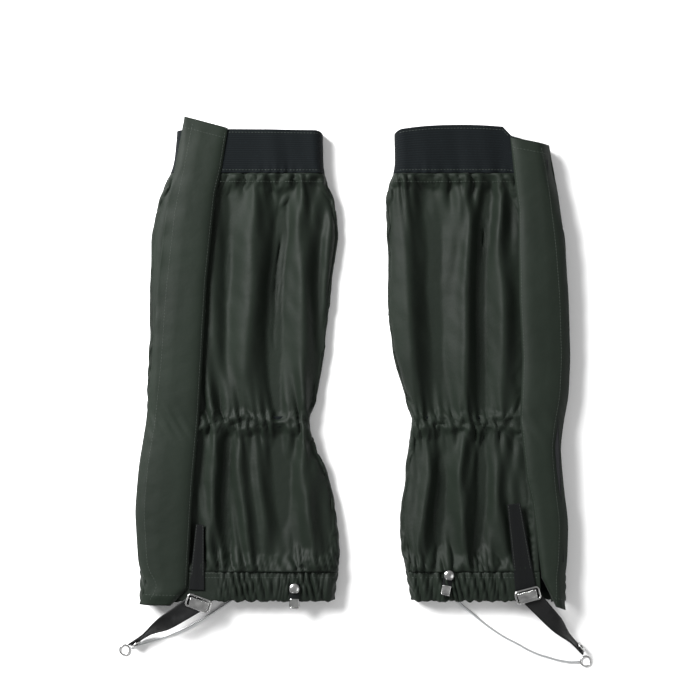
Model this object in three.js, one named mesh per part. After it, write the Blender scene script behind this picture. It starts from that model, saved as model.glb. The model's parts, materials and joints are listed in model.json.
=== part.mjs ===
// A pair of hiking gaiters lying flat on a table, front layers up.
// Millimetres. +X to the right, +Y towards the calf ends, +Z up from the table.
import * as THREE from 'three';

// ---- driving dimensions ----
const pairShift = new THREE.Vector3(-4.8, 39.7, 0); // moves the pair so that its base centre is the origin
const bodyHeight = 20;        // thickness of the flattened leg tube
const fabricWall = 1.2;       // wall that stands for the coated fabric
const seatGap = 0.3;          // clearance between pieces that touch
const bandTopY = 201.4;       // upper edge of the elastic band
const bandDrop = 39;          // height of the elastic band
const legTopY = bandTopY - bandDrop - 0.3;  // the leg panel starts under the band
const ankleY = -66;           // line of the ankle elastic
const hemTopY = -203.3;       // stitched upper edge of the hem casing
const hemDrop = 27;           // height of the hem casing
const elasticWall = 1.0;      // thickness of the sewn-in elastics
const ankleElasticDrop = 10;
const hemElasticDrop = 14;
const hemElasticInset = 6;    // from the casing's upper edge to the elastic
const zipSlot = 9;            // gap between the two fabric edges at the zip
const tapeWidth = 7;          // one zip tape
const tapeWall = 0.6;
const coilWidth = 2.4;        // one row of zip teeth
const coilHeight = 1.8;
const coilGap = 1.7;          // space between the two rows
const sliderLength = 12;
const sliderPlate = 1.0;
const pullLength = 22;
const pullWidth = 6;
const pullWall = 1.0;
const sliderRest = 5;         // closed slider, from the top of the zip
const zipBoxLength = 6;
const flapWall = 1.3;
const flapRise = 7.3;         // how far the flap stands off the body over the zip
const flapFootRise = 1.8;     // the same below the zip, beside the buckle
const closureWidth = 11;      // hook tape and loop tape
const closureWall = 0.8;
const strapWall = 1.6;
const strapWidth = 18;        // foot strap at the buckle
const strapTipWidth = 11;     // foot strap at its eyelet
const frameWire = 2.2;        // buckle frame wire diameter
const frameLength = 13;
const frameClear = 0.8;       // each side of the strap inside the frame
const frameWidth = strapWidth + 2 * frameWire + 2 * frameClear;
const ringRadius = 4.6;       // strap ring, to the middle of its wire
const ringWire = 1.6;
const cableDiameter = 2;
const ferruleLength = 9;
const ferruleDiameter = 3.4;
const rivetCapDiameter = 10;
const hookTabWidth = 9;
const hookTabLength = 21;
const webWall = 1.2;          // webbing of the hook tab and the buckle's loop
const hookLength = 9;         // lace hook, along the tab
const hookRise = 5;
const hookSheet = 1.0;        // sheet metal of the lace hook
const camLength = 9;
const camWall = 1.2;
const anchorTabLength = 18;
const closureTopY = 175;      // ends of the hook and loop tapes
const closureFootY = -195;

// Each side: the outline rows are [y, flap side x, front x] from the calf to the shoe.
const sides = [
  {
    name: 'left',
    flapSign: -1,
    band: [[bandTopY, -159, -25], [bandTopY - bandDrop, -163, -24.5]],
    leg: [[legTopY, -164, -24.5], [150, -173, -19.5], [131, -178, -13], [113, -182.5, -10.2], [92, -184, -12],
      [60, -184.5, -17], [25, -185, -20.4], [-10, -185.5, -24.5], [-41, -187, -29.6], [ankleY, -186.5, -39],
      [-90, -190.5, -33], [-106, -193.8, -23], [-123, -195.7, -16.7], [-148, -197.2, -13.5],
      [-172, -196.4, -9.3], [hemTopY + seatGap, -192.8, -10]],
    hem: [[hemTopY, -192.8, -10], [-212, -193.2, -12.5], [hemTopY - hemDrop, -193.5, -14.8]],
    hinge: [[-116, 204], [-149.5, -220]],
    foot: [-163.9, -234],
    freeEdge: [[214, -150.9], [205, -153.2], [171, -159.3], [128, -168.5], [55, -176.5], [-10, -181],
      [-66, -186.9], [-106, -193.5], [-148, -197], [-203, -193.5], [-233.5, -193.4]],
    zip: [[-134, 199], [-170.2, -212]],
    webbing: { top: [-137.5, -160], topWidth: 7, end: [-140.5, -220], endWidth: 14 },
    buckle: { at: [-136.5, -225.5], turn: 250 },
    strapEnd: [-203.2, -272.2], ringAt: [-208.5, -277.5],
    cable: [[-98, -214, 4.6], [-101.5, -221, 4.3], [-106.5, -228.7, 3.2], [-114, -234.6, 2.2],
      [-123.2, -240.8, 1.6], [-131.5, -246, 1.2], [-139.8, -250.9, 1.1], [-148, -255.3, 1.1],
      [-156.5, -259.3, 1.1], [-168, -264, 1.1], [-180.6, -268.5, 1.1], [-192, -271.9, 1.2],
      [-203.2, -275.3, 1.3]],
    hook: { at: [-51, -218.5], turn: 0 },
  },
  {
    name: 'right',
    flapSign: 1,
    band: [[bandTopY, 180, 40.6], [bandTopY - bandDrop, 184, 41.6]],
    leg: [[legTopY, 184.5, 41.2], [150, 188, 34.5], [140, 190.5, 33.4], [122, 195.4, 32.6], [97, 199.1, 34.6],
      [60, 200.9, 34.6], [23, 201.6, 35.5], [-9, 201.9, 40.7], [-24, 200.5, 44], [-45, 199.4, 52],
      [ankleY, 194.4, 58.3], [-90, 191, 52.8], [-126, 194.6, 49.8], [-150, 200, 46], [-176, 199.6, 45.4],
      [hemTopY + seatGap, 198.2, 51.5]],
    hem: [[hemTopY, 198.2, 51.5], [-212, 198.4, 53.4], [hemTopY - hemDrop, 198.8, 56.5]],
    hinge: [[147.5, 196], [174.5, -211]],
    foot: [188, -232],
    freeEdge: [[188, 182.4], [166, 187], [142, 190.8], [97, 196.5], [45, 200.4], [-9, 202], [-45, 200.2],
      [-66, 196], [-90, 193], [-126, 196], [-160, 200.2], [-203, 198.6], [-238.5, 199.1]],
    zip: [[163, 188], [179, -212]],
    webbing: { top: [150, -141], topWidth: 12, end: [161, -219.5], endWidth: 19 },
    buckle: { at: [161.1, -218], turn: -75 },
    strapEnd: [215.2, -279.5], ringAt: [218.1, -288],
    cable: [[92, -214, 4.6], [93.6, -221, 4.3], [96.3, -227.8, 3.2], [103.5, -236, 2], [113, -243.5, 1.4],
      [123, -252, 1.1], [134.3, -260.2, 1.1], [144.5, -266.5, 1.1], [155.6, -272.2, 1.1],
      [164.5, -277.3, 1.1], [174.1, -281.5, 1.1], [183.3, -284.3, 1.1], [191, -286.6, 1.1],
      [198.2, -288, 1.1], [205, -288.7, 1.3], [212.4, -288.5, 1.3]],
    hook: { at: [90.7, -206.5], turn: -12 },
  },
];

// ---- materials ----
function finish(color, roughness, metalness) {
  return new THREE.MeshStandardMaterial({ color, roughness, metalness });
}

const olive = finish(0x2c3a30, 0.7, 0);
const blackWeb = finish(0x101416, 0.8, 0);
const blackPlastic = finish(0x15171a, 0.5, 0);
const steel = finish(0xc9cbcc, 0.28, 1);

const gaiters = new THREE.Group();
gaiters.position.copy(pairShift);

function add(name, geometry, material) {
  const mesh = new THREE.Mesh(geometry, material);
  mesh.name = name;
  gaiters.add(mesh);
  return mesh;
}

// ---- shape helpers ----

// Closed body through equal loops of points, with flat caps; flatten gives a loop's 2-D outline for its cap.
function loft(loops, flatten = (p) => new THREE.Vector2(p.x, p.z)) {
  const count = loops[0].length;
  const positions = loops.flat().flatMap((p) => [p.x, p.y, p.z]);
  const triangles = [];
  for (let row = 0; row + 1 < loops.length; row += 1) {
    for (let i = 0; i < count; i += 1) {
      const a = row * count + i;
      const b = row * count + ((i + 1) % count);
      triangles.push(a, b, a + count, b, b + count, a + count);
    }
  }
  const last = (loops.length - 1) * count;
  for (const [a, b, c] of capTriangles(loops[0].map(flatten))) triangles.push(a, c, b);
  for (const [a, b, c] of capTriangles(loops[loops.length - 1].map(flatten))) {
    triangles.push(last + a, last + b, last + c);
  }
  return closedBody(positions, triangles);
}

// Triangles of a cap, wound the way its outline runs.
function capTriangles(outline) {
  const forward = THREE.ShapeUtils.area(outline) > 0;
  return THREE.ShapeUtils.triangulateShape(outline, []).map(([a, b, c]) => {
    const same = THREE.ShapeUtils.area([outline[a], outline[b], outline[c]]) > 0 === forward;
    return same ? [a, b, c] : [a, c, b];
  });
}

// Body from points and triangles, turned the right way out.
function closedBody(positions, triangles) {
  const point = (i) => new THREE.Vector3().fromArray(positions, 3 * i);
  let volume = 0;
  for (let i = 0; i < triangles.length; i += 3) {
    const [a, b, c] = [0, 1, 2].map((k) => point(triangles[i + k]));
    volume += a.dot(b.cross(c));
  }
  if (volume < 0) triangles.reverse();
  const geometry = new THREE.BufferGeometry();
  geometry.setAttribute('position', new THREE.Float32BufferAttribute(positions, 3));
  geometry.setIndex(triangles);
  geometry.computeVertexNormals();
  return geometry;
}

const lerp = (a, b, t) => a + (b - a) * t;

// Linear reading of rows [y, value, value...] that run down in y.
function rowAt(rows, y) {
  let k = 0;
  while (k + 2 < rows.length && y < rows[k + 1][0]) k += 1;
  const t = THREE.MathUtils.clamp((rows[k][0] - y) / (rows[k][0] - rows[k + 1][0]), -1, 2);
  return rows[k].slice(1).map((v, i) => lerp(v, rows[k + 1][i + 1], t));
}

const lineX = ([[x0, y0], [x1, y1]], y) => lerp(x0, x1, (y0 - y) / (y0 - y1));

// Flattened tube at one y: rounded sides, open between the two edges of the zip slot.
function tubeLoop(y, flapX, frontX, slotX, flapSign, low, high, wall) {
  const half = zipSlot / 2;
  const run = (inset) => {
    const radius = (high - low) / 2 - inset;
    const middle = (high + low) / 2;
    const points = [[slotX + flapSign * half, high - inset]];
    const reach = (high - low) / 2;
    arcSide(points, flapX - flapSign * reach, middle, radius, flapSign);
    points.push([(flapX + frontX) / 2, low + inset]);
    arcSide(points, frontX + flapSign * reach, middle, -radius, flapSign);
    points.push([slotX - flapSign * half, high - inset]);
    return points;
  };
  const outer = run(0);
  const inner = run(wall).reverse();
  return [...outer, ...inner].map(([x, z]) => new THREE.Vector3(x, y, z));
}

// Half circle on the flap side (positive radius) from the top down, or on the front side from the bottom up.
function arcSide(points, x, middle, radius, flapSign) {
  const steps = 6;
  for (let i = 0; i <= steps; i += 1) {
    const angle = (Math.PI * i) / steps;
    points.push([x + flapSign * radius * Math.sin(angle), middle + radius * Math.cos(angle)]);
  }
}

function tube(rows, side, low = 0, high = bodyHeight, wall = fabricWall) {
  return loft(rows.map(([y, flapX, frontX]) =>
    tubeLoop(y, flapX, frontX, lineX(side.zip, y), side.flapSign, low, high, wall)));
}

// Flat bar of a given width between two points of the plane, from z up by wall.
function bar(from, to, widthFrom, widthTo, z, wall) {
  const along = new THREE.Vector2(to[0] - from[0], to[1] - from[1]).normalize();
  const across = new THREE.Vector2(-along.y, along.x);
  const corner = ([x, y], width) => new THREE.Vector2(x + across.x * width, y + across.y * width);
  const shape = new THREE.Shape([corner(from, widthFrom / 2), corner(from, -widthFrom / 2),
    corner(to, -widthTo / 2), corner(to, widthTo / 2)]);
  return new THREE.ExtrudeGeometry(shape, { depth: wall, bevelEnabled: false }).translate(0, 0, z);
}

// Round bar along a smooth curve through the points.
function tubeAlong(points, diameter, steps) {
  const corners = 8;
  const circle = new THREE.Shape();
  circle.absarc(0, 0, diameter / 2, 0, Math.PI * 2, false);
  const section = new THREE.Shape(circle.getSpacedPoints(corners).slice(0, corners));
  const extrudePath = new THREE.CatmullRomCurve3(points.map((p) => new THREE.Vector3(...p)));
  return new THREE.ExtrudeGeometry(section, { extrudePath, steps, bevelEnabled: false });
}

function disc(radius, height, steps = 20) {
  return new THREE.CylinderGeometry(radius, radius, height, steps).rotateX(Math.PI / 2)
    .translate(0, 0, height / 2);
}

// Shallow dome with a flat underside.
function dome(radius, height, steps = 20) {
  const profile = [[0, 0], [radius, 0], [radius, height * 0.35], [radius * 0.8, height * 0.72],
    [radius * 0.45, height * 0.95], [0, height]].map(([x, y]) => new THREE.Vector2(x, y));
  return new THREE.LatheGeometry(profile, steps).rotateX(Math.PI / 2);
}

// ---- fabric and elastic ----
function addBody({ name, band, leg, hem, ...side }) {
  add(`${name}_top_band`, tube(band, side), blackWeb);
  add(`${name}_leg_panel`, tube(leg, side), olive);
  add(`${name}_hem_casing`, tube(hem, side), olive);
}

// An elastic is a strip inside the back and front layers, so it is a smaller open tube within the wall.
function addElastic(nodeName, side, topY, drop, rows) {
  const inset = fabricWall + seatGap;
  const bottom = topY - drop;
  const levels = [topY, ...rows.map(([y]) => y).filter((y) => y < topY && y > bottom), bottom];
  const reach = bodyHeight / 2;
  const radius = reach - inset;
  const loops = levels.map((y) => {
    const [flapX, frontX] = rowAt(rows, y);
    const frontEnd = lineX(side.zip, y) - side.flapSign * (tapeWidth + coilGap);
    const run = (r) => {
      const points = [[flapX - side.flapSign * reach, reach - r]];
      arcSide(points, frontX + side.flapSign * reach, reach, -r, side.flapSign);
      points.push([frontEnd, reach + r]);
      return points;
    };
    const ring = [...run(radius), ...run(radius - elasticWall).reverse()];
    return ring.map(([x, z]) => new THREE.Vector3(x, y, z));
  });
  add(nodeName, loft(loops), blackWeb);
}

// ---- zip ----
function addZip(side) {
  const { name, zip, flapSign } = side;
  const [[x0, y0], [x1, y1]] = zip;
  const axis = new THREE.Vector2(x1 - x0, y1 - y0);
  const angle = Math.atan2(axis.y, axis.x);
  const length = axis.length();
  const tapeZ = bodyHeight - fabricWall - seatGap - tapeWall;
  const place = (geometry) => geometry.rotateZ(angle).translate(x0, y0, 0);
  const strip = (from, to, start, end, z, wall) => place(new THREE.BoxGeometry(end - start, to - from, wall)
    .translate((start + end) / 2, (from + to) / 2, z + wall / 2));
  const rows = { front: flapSign, back: -flapSign };
  const boxEnd = length - 2.5;
  const boxStart = boxEnd - zipBoxLength;
  const teethZ = tapeZ + tapeWall + seatGap;
  for (const [row, sign] of Object.entries(rows)) {
    const near = (sign * coilGap) / 2;
    const tapeEdge = near + sign * tapeWidth;
    const coilEdge = near + sign * coilWidth;
    add(`${name}_zip_tape_${row}`,
      strip(Math.min(near, tapeEdge), Math.max(near, tapeEdge), 2, length - 2, tapeZ, tapeWall), blackWeb);
    add(`${name}_zip_teeth_${row}`,
      strip(Math.min(near, coilEdge), Math.max(near, coilEdge), 3, boxStart - seatGap, teethZ, coilHeight),
      blackPlastic);
  }
  const boxHalf = coilWidth + coilGap / 2;
  add(`${name}_zip_box`, strip(-boxHalf, boxHalf, boxStart, boxEnd, teethZ, coilHeight), blackPlastic);
  addSlider(name, place, tapeZ);
}

// The slider is an I in section: plates above the teeth and below the tapes, a post between the rows.
function addSlider(name, place, tapeZ) {
  const half = zipSlot / 2 - 0.6;
  const post = coilGap / 2 - seatGap;
  const low = tapeZ - seatGap;
  const high = tapeZ + tapeWall + seatGap + coilHeight + seatGap;
  const foot = low - sliderPlate;
  const top = high + sliderPlate;
  const outline = [[-half, foot], [half, foot], [half, low], [post, low], [post, high], [half, high],
    [half, top], [-half, top], [-half, high], [-post, high], [-post, low], [-half, low]];
  const start = sliderRest;
  const loops = [start, start + sliderLength].map((x) =>
    outline.map(([y, z]) => new THREE.Vector3(x, y, z)));
  add(`${name}_zip_slider`, place(loft(loops, (p) => new THREE.Vector2(p.y, p.z))), steel);
  const shape = new THREE.Shape([[0, -pullWidth / 2], [pullLength, -pullWidth / 3],
    [pullLength, pullWidth / 3], [0, pullWidth / 2]].map(([x, y]) => new THREE.Vector2(x, y)));
  const pull = new THREE.ExtrudeGeometry(shape, { depth: pullWall, bevelEnabled: false })
    .translate(start + 3, 0, top + seatGap);
  add(`${name}_zip_pull`, place(pull), steel);
}

// ---- storm flap and its closure ----
// Section of the flap from its sewn edge to its free edge: it arches over the zip.
function flapLoop([sewnX, sewnY], [freeX, freeY], base, height) {
  const arch = [[0, 0], [0.16, 0.62], [0.34, 1], [0.62, 1], [0.8, 0.6], [1, 0.3]];
  const line = (lift) => arch.map(([t, rise]) =>
    new THREE.Vector3(lerp(sewnX, freeX, t), lerp(sewnY, freeY, t), base + rise * height + lift));
  return [...line(0), ...line(flapWall).reverse()];
}

function addFlap({ name, hinge, foot, freeEdge, zip, flapSign }) {
  const base = bodyHeight + seatGap;
  const [[, hingeTop], [hingeFootX, hingeFootY]] = hinge;
  const inner = (y) => (y >= hingeFootY ? lineX(hinge, y)
    : lerp(hingeFootX, foot[0], (hingeFootY - y) / (hingeFootY - foot[1])));
  const freeFoot = freeEdge[freeEdge.length - 1][0];
  const levels = freeEdge.map(([y]) => y);
  const innerLevels = levels.map((y) => THREE.MathUtils.clamp(y, foot[1], hingeTop));
  const heightAt = (y) => (y < hingeFootY ? flapFootRise : flapRise);
  const loops = levels.map((y, i) =>
    flapLoop([inner(innerLevels[i]), innerLevels[i]], [freeEdge[i][1], y], base, heightAt(y)));
  const knee = levels.findIndex((y) => y < hingeFootY);
  const kneeFree = [rowAt(freeEdge, hingeFootY)[0], lerp(hingeFootY, freeFoot, 0.1)];
  loops.splice(knee, 0, flapLoop(hinge[1], kneeFree, base, flapFootRise));
  add(`${name}_storm_flap`, loft(loops), olive);
  const clear = flapSign * (zipSlot / 2 + 2.5);
  const middle = (y) => lineX(zip, y) + clear + (flapSign * closureWidth) / 2;
  const strip = (z) => bar([middle(closureTopY), closureTopY], [middle(closureFootY), closureFootY],
    closureWidth, closureWidth, z, closureWall);
  add(`${name}_hook_tape`, strip(base), blackWeb);
  add(`${name}_loop_tape`, strip(base + closureWall + seatGap), blackWeb);
}

// ---- buckle, foot strap and cable ----
// Underside of the buckle frame: the strap runs between it and the webbing.
const buckleFloor = bodyHeight + seatGap + webWall + seatGap + strapWall + seatGap;

function buckleFrameOutline(length, width, corner) {
  const x = length / 2;
  const y = width / 2;
  const corners = [[x, y - corner], [x - corner, y], [corner - x, y], [-x, y - corner],
    [-x, corner - y], [corner - x, -y], [x - corner, -y], [x, corner - y]];
  return corners.map(([a, b]) => new THREE.Vector2(a, b));
}

function addBuckle(side) {
  const { name, buckle, webbing } = side;
  const webZ = bodyHeight + seatGap;
  const { top, end, topWidth, endWidth } = webbing;
  add(`${name}_buckle_webbing`, bar(top, end, topWidth, endWidth, webZ, webWall), blackWeb);
  const turn = THREE.MathUtils.degToRad(buckle.turn);
  const place = (geometry) => geometry.rotateZ(turn).translate(buckle.at[0], buckle.at[1], 0);
  const frame = new THREE.Shape(buckleFrameOutline(frameLength, frameWidth, 3));
  const opening = buckleFrameOutline(frameLength - 2 * frameWire, frameWidth - 2 * frameWire, 2);
  frame.holes.push(new THREE.Path(opening));
  const frameZ = buckleFloor;
  const frameSolid = new THREE.ExtrudeGeometry(frame, { depth: frameWire, bevelEnabled: false });
  add(`${name}_buckle_frame`, place(frameSolid.translate(frameLength / 2, 0, frameZ)), steel);
  const camHalf = strapWidth / 2;
  const camTaper = 1.5;
  const camCorners = [[0, -camHalf], [camLength, camTaper - camHalf], [camLength, camHalf - camTaper],
    [0, camHalf]];
  const cam = new THREE.Shape(camCorners.map(([x, y]) => new THREE.Vector2(x, y)));
  const camSolid = new THREE.ExtrudeGeometry(cam, { depth: camWall, bevelEnabled: false });
  const camZ = frameZ + frameWire + seatGap;
  add(`${name}_buckle_cam`, place(camSolid.translate(frameWire + frameClear, 0, camZ)), steel);
}

const strapSteps = 12;
const strapTwist = THREE.MathUtils.degToRad(74); // the strap's free end stands on its edge

// Foot strap: lies flat below the buckle, then turns onto its edge and narrows to the eyelet.
function strapRows({ buckle, strapEnd }) {
  const turn = THREE.MathUtils.degToRad(buckle.turn);
  const inside = frameLength * 0.35;
  const [x, y] = buckle.at;
  const start = new THREE.Vector3(x + Math.cos(turn) * inside, y + Math.sin(turn) * inside, 0);
  const end = new THREE.Vector3(...strapEnd, 0);
  const heading = end.clone().sub(start);
  return Array.from({ length: strapSteps + 1 }, (_, i) => {
    const t = i / strapSteps;
    const twist = THREE.MathUtils.smoothstep(t, 0.36, 0.8) * strapTwist;
    const width = lerp(strapWidth, strapTipWidth, t);
    const middle = start.clone().addScaledVector(heading, t);
    const drop = THREE.MathUtils.smoothstep(t, 0.34, 0.86);
    const flatZ = buckleFloor - seatGap - strapWall / 2;
    const edgeZ = (width / 2) * Math.sin(twist) + strapWall + 0.2;
    middle.z = lerp(flatZ, edgeZ, drop);
    return { middle, width, twist };
  });
}

function addStrap(side) {
  const { name } = side;
  const rows = strapRows(side);
  const tip = rows[strapSteps];
  const inward = rows[0].middle.clone().sub(tip.middle).setZ(0).normalize();
  const level = new THREE.Vector3(-inward.y, inward.x, 0);
  const upright = new THREE.Vector3(0, 0, 1);
  const turned = (alongLevel, alongUp) =>
    level.clone().multiplyScalar(alongLevel).addScaledVector(upright, alongUp);
  const loops = rows.map(({ middle, width, twist }) => {
    const broad = turned(Math.cos(twist), Math.sin(twist));
    const thin = turned(-Math.sin(twist), Math.cos(twist));
    return [[-1, -1], [1, -1], [1, 1], [-1, 1]].map(([a, b]) => middle.clone()
      .addScaledVector(broad, (a * width) / 2).addScaledVector(thin, (b * strapWall) / 2));
  });
  add(`${name}_foot_strap`, loft(loops, (p) => new THREE.Vector2(p.dot(level), p.z)), blackWeb);
  const thin = turned(-Math.sin(tip.twist), Math.cos(tip.twist));
  const eyelet = dome(strapTipWidth / 2 - 0.6, 2.2, 16);
  const face = new THREE.Quaternion().setFromUnitVectors(upright, thin);
  const seat = tip.middle.clone().addScaledVector(inward, strapTipWidth / 2)
    .addScaledVector(thin, strapWall / 2 + seatGap);
  add(`${name}_strap_eyelet`, eyelet.applyQuaternion(face).translate(seat.x, seat.y, seat.z), steel);
}

function addRingAndCable(side) {
  const { name, ringAt, cable } = side;
  const ring = new THREE.TorusGeometry(ringRadius, ringWire / 2, 8, 20)
    .translate(ringAt[0], ringAt[1], ringWire / 2 + 0.1);
  add(`${name}_strap_ring`, ring, steel);
  add(`${name}_foot_cable`, tubeAlong(cable, cableDiameter, 42), steel);
  const end = new THREE.Vector3(...cable[0]);
  const heading = end.clone().sub(new THREE.Vector3(...cable[1])).normalize();
  const start = end.clone().addScaledVector(heading, seatGap);
  const face = new THREE.Quaternion().setFromUnitVectors(new THREE.Vector3(0, 1, 0), heading);
  const ferrule = new THREE.CylinderGeometry(ferruleDiameter / 2, ferruleDiameter / 2, ferruleLength, 12)
    .translate(0, ferruleLength / 2, 0).applyQuaternion(face).translate(start.x, start.y, start.z);
  add(`${name}_anchor_ferrule`, ferrule, steel);
}

function addAnchor({ name, cable }) {
  const [x, y] = cable[0];
  const floor = fabricWall + seatGap;
  const tabWall = 0.5;
  const tabFoot = y + ferruleLength + 1;
  const tab = new THREE.BoxGeometry(10, anchorTabLength, tabWall)
    .translate(x, tabFoot + anchorTabLength / 2, floor + tabWall / 2);
  add(`${name}_anchor_tab`, tab, blackWeb);
  const rivet = disc(3.2, 1.4, 16).translate(x, tabFoot + anchorTabLength * 0.45, floor + tabWall + seatGap);
  add(`${name}_anchor_rivet`, rivet, steel);
}

// ---- front lace hook ----
function addHook({ name, hook }) {
  const turn = THREE.MathUtils.degToRad(hook.turn);
  const place = (geometry) => geometry.rotateZ(turn).translate(hook.at[0], hook.at[1], 0);
  const z = bodyHeight + seatGap;
  const tabHead = rivetCapDiameter * 0.45;
  const tab = new THREE.BoxGeometry(hookTabWidth, hookTabLength, webWall)
    .translate(0, tabHead - hookTabLength / 2, z + webWall / 2);
  add(`${name}_hook_tab`, place(tab), blackWeb);
  const cap = dome(rivetCapDiameter / 2, 2.4).translate(0, 0, z + webWall + seatGap);
  add(`${name}_hook_rivet`, place(cap), steel);
  const profile = [[0, 0], [hookLength, 0], [hookLength, hookRise], [hookLength - hookSheet, hookRise],
    [hookLength - hookSheet, hookSheet], [hookSheet, hookSheet], [hookSheet, hookRise], [0, hookRise]];
  const width = hookTabWidth - 1;
  const loops = [-width / 2, width / 2].map((x) => profile.map(([along, up]) =>
    new THREE.Vector3(x, tabHead - hookTabLength - 1.5 + along, z + webWall + seatGap + up)));
  add(`${name}_lace_hook`, place(loft(loops, (p) => new THREE.Vector2(p.y, p.z))), steel);
}

for (const side of sides) {
  addBody(side);
  const ankleTop = ankleY + ankleElasticDrop / 2;
  const hemElasticTop = hemTopY - hemElasticInset;
  addElastic(`${side.name}_ankle_elastic`, side, ankleTop, ankleElasticDrop, side.leg);
  addElastic(`${side.name}_hem_elastic`, side, hemElasticTop, hemElasticDrop, side.hem);
  addZip(side);
  addFlap(side);
  addBuckle(side);
  addStrap(side);
  addRingAndCable(side);
  addAnchor(side);
  addHook(side);
}

export default gaiters;
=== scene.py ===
import json
import math

import bmesh
import bpy
import numpy as np
from mathutils import Matrix, Vector, noise


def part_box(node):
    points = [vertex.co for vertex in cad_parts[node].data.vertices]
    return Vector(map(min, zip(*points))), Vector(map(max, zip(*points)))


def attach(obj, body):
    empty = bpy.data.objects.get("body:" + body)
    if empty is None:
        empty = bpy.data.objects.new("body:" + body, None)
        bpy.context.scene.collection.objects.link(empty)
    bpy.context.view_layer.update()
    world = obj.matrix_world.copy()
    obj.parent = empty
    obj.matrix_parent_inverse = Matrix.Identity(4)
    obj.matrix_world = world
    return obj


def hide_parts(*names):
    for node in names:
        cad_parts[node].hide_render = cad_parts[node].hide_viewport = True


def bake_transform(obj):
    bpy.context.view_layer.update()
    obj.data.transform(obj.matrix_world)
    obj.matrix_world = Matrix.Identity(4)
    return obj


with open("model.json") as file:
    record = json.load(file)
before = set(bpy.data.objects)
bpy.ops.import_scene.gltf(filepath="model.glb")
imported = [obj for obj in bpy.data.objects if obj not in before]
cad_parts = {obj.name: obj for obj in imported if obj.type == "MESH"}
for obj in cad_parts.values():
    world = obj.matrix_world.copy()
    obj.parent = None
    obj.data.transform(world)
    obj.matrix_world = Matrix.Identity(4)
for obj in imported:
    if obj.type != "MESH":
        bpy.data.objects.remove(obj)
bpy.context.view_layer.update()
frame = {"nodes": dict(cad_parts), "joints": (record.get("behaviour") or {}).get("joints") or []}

bl_info = {
    "name": "Hiking gaiters",
    "version": (1, 0, 0),
    "blender": (4, 5, 0),
    "location": "3D View > Sidebar > Gaiters",
    "description": "Builds a pair of storm-flap gaiters around their packed frame",
    "category": "Object",
}

MM = 0.001
SIDES = ("left", "right")
FLAP_SIGN = {"left": -1, "right": 1}
ROOT = "gaiters"
PAIR_SHIFT = Vector((-4.8, 39.7, 0.0)) * MM   # from the table's own axes to the frame's origin
FLAP_LENGTH, FLAP_TOP_FADE, FLAP_FOOT_FADE = 450, 22, 10   # millimetres; the arch fades in from each end
# Flap: heights of the seam's top, foot corner and hinge's foot in the table's axes, then how far
# the foot turns in, millimetres.
FLAP_ENDS = {"left": (203.5, -234, -218, 14), "right": (195, -235, -209, 11)}
# Upper edge of the right band: how far it drops at these places towards the flap side.
BAND_SLOPE_X = ((140 + PAIR_SHIFT.x / MM) * MM, 0.143, 0.182)
BAND_SLOPE_DROP = (0, 8 * MM, 16 * MM)
ELASTIC_INSET = {"ankle_elastic": 6.5 * MM, "hem_elastic": 5.5 * MM}
BUCKLE_WIRE, RING_WIRE = 1.1 * MM, 0.8 * MM     # radii
STITCH_WIDTH = 0.5 * MM
FLOOR_SIZE, FLOOR_Z = 6.0, -0.1 * MM
ANKLE_Y = -66 * MM + PAIR_SHIFT.y
GATHER_PITCH = {"band": 11 * MM, "ankle": 8.5 * MM, "hem": 7.5 * MM}

# Long folds of each front layer: (x at its top, x at its foot, half width, height), millimetres.
UPPER_FOLDS = {
    "left": ((-95, -100, 12, 8.0), (-69, -74, 9, -8.5), (-48, -50, 9, 6.5), (-120, -116, 7, -4.5),
             (-30, -36, 6, -4)),
    "right": ((101, 106, 10, 8.5), (119, 114, 8, -9.5), (134, 132, 7, 5.5), (66, 78, 13, -5.5),
              (46, 58, 9, 5.5)),
}
LOWER_FOLDS = {
    "left": ((-131, -130, 6, 5.5), (-119, -117, 5, -7.0), (-105, -103, 7, 5.5), (-76, -64, 11, -6.0),
             (-48, -36, 8, 6.5), (-90, -84, 5, 3.0)),
    "right": ((66, 60, 7, 6.0), (84, 76, 7, -6.5), (98, 96, 7, 6.0), (114, 118, 7, -7.0), (128, 133, 7, 5.0)),
}
# How far the flap's seam bows from its straight hinge line: (y, offset), millimetres in the table's axes.
SEAM_BOW = {
    "left": ((204, 4.0), (167, 1.3), (143, -2.4), (62, -4.3), (10, -3.0), (-57, -1.4),
             (-123, -1.7), (-220, 0.0)),
    "right": ((196, -0.5), (160, 1.0), (128, 2.6), (90, 0.2), (45, -2.0), (-9, -3.0), (-64, -8.5),
              (-117, -6.3),
              (-140, -2.2), (-211, 2.0)),
}


# ---------------------------------------------------------------- reading the frame
def joint_of(name):
    return next(joint for joint in frame["joints"] if joint["name"] == name)


def node_points(node):
    obj = frame["nodes"][node]
    return np.array([obj.matrix_world @ v.co for v in obj.data.vertices])


def cad_rows(*names):
    """Rows (y, lowest x, highest x) of CAD nodes, from the calf down."""
    rows = {}
    for name in names:
        for vertex in frame["nodes"][name].data.vertices:
            key = round(vertex.co.y, 5)
            low, high = rows.get(key, (9.0, -9.0))
            rows[key] = (min(low, vertex.co.x), max(high, vertex.co.x))
    return np.array([(y, *rows[y]) for y in sorted(rows, reverse=True)])


def smooth_reader(rows, column, reach=9 * MM):
    """Smooth value of one column of rows at any y."""
    step = 1.5 * MM
    ys = np.arange(rows[-1, 0] - 0.05, rows[0, 0] + 0.05, step)
    values = np.interp(ys, rows[::-1, 0], rows[::-1, column])
    half = int(round(2 * reach / step))
    kernel = np.exp(-0.5 * (np.arange(-half, half + 1) * step / reach) ** 2)
    padded = np.pad(values, half, mode="edge")
    soft = np.convolve(padded, kernel / kernel.sum(), mode="valid")
    return lambda y: np.interp(y, ys, soft)


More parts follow.
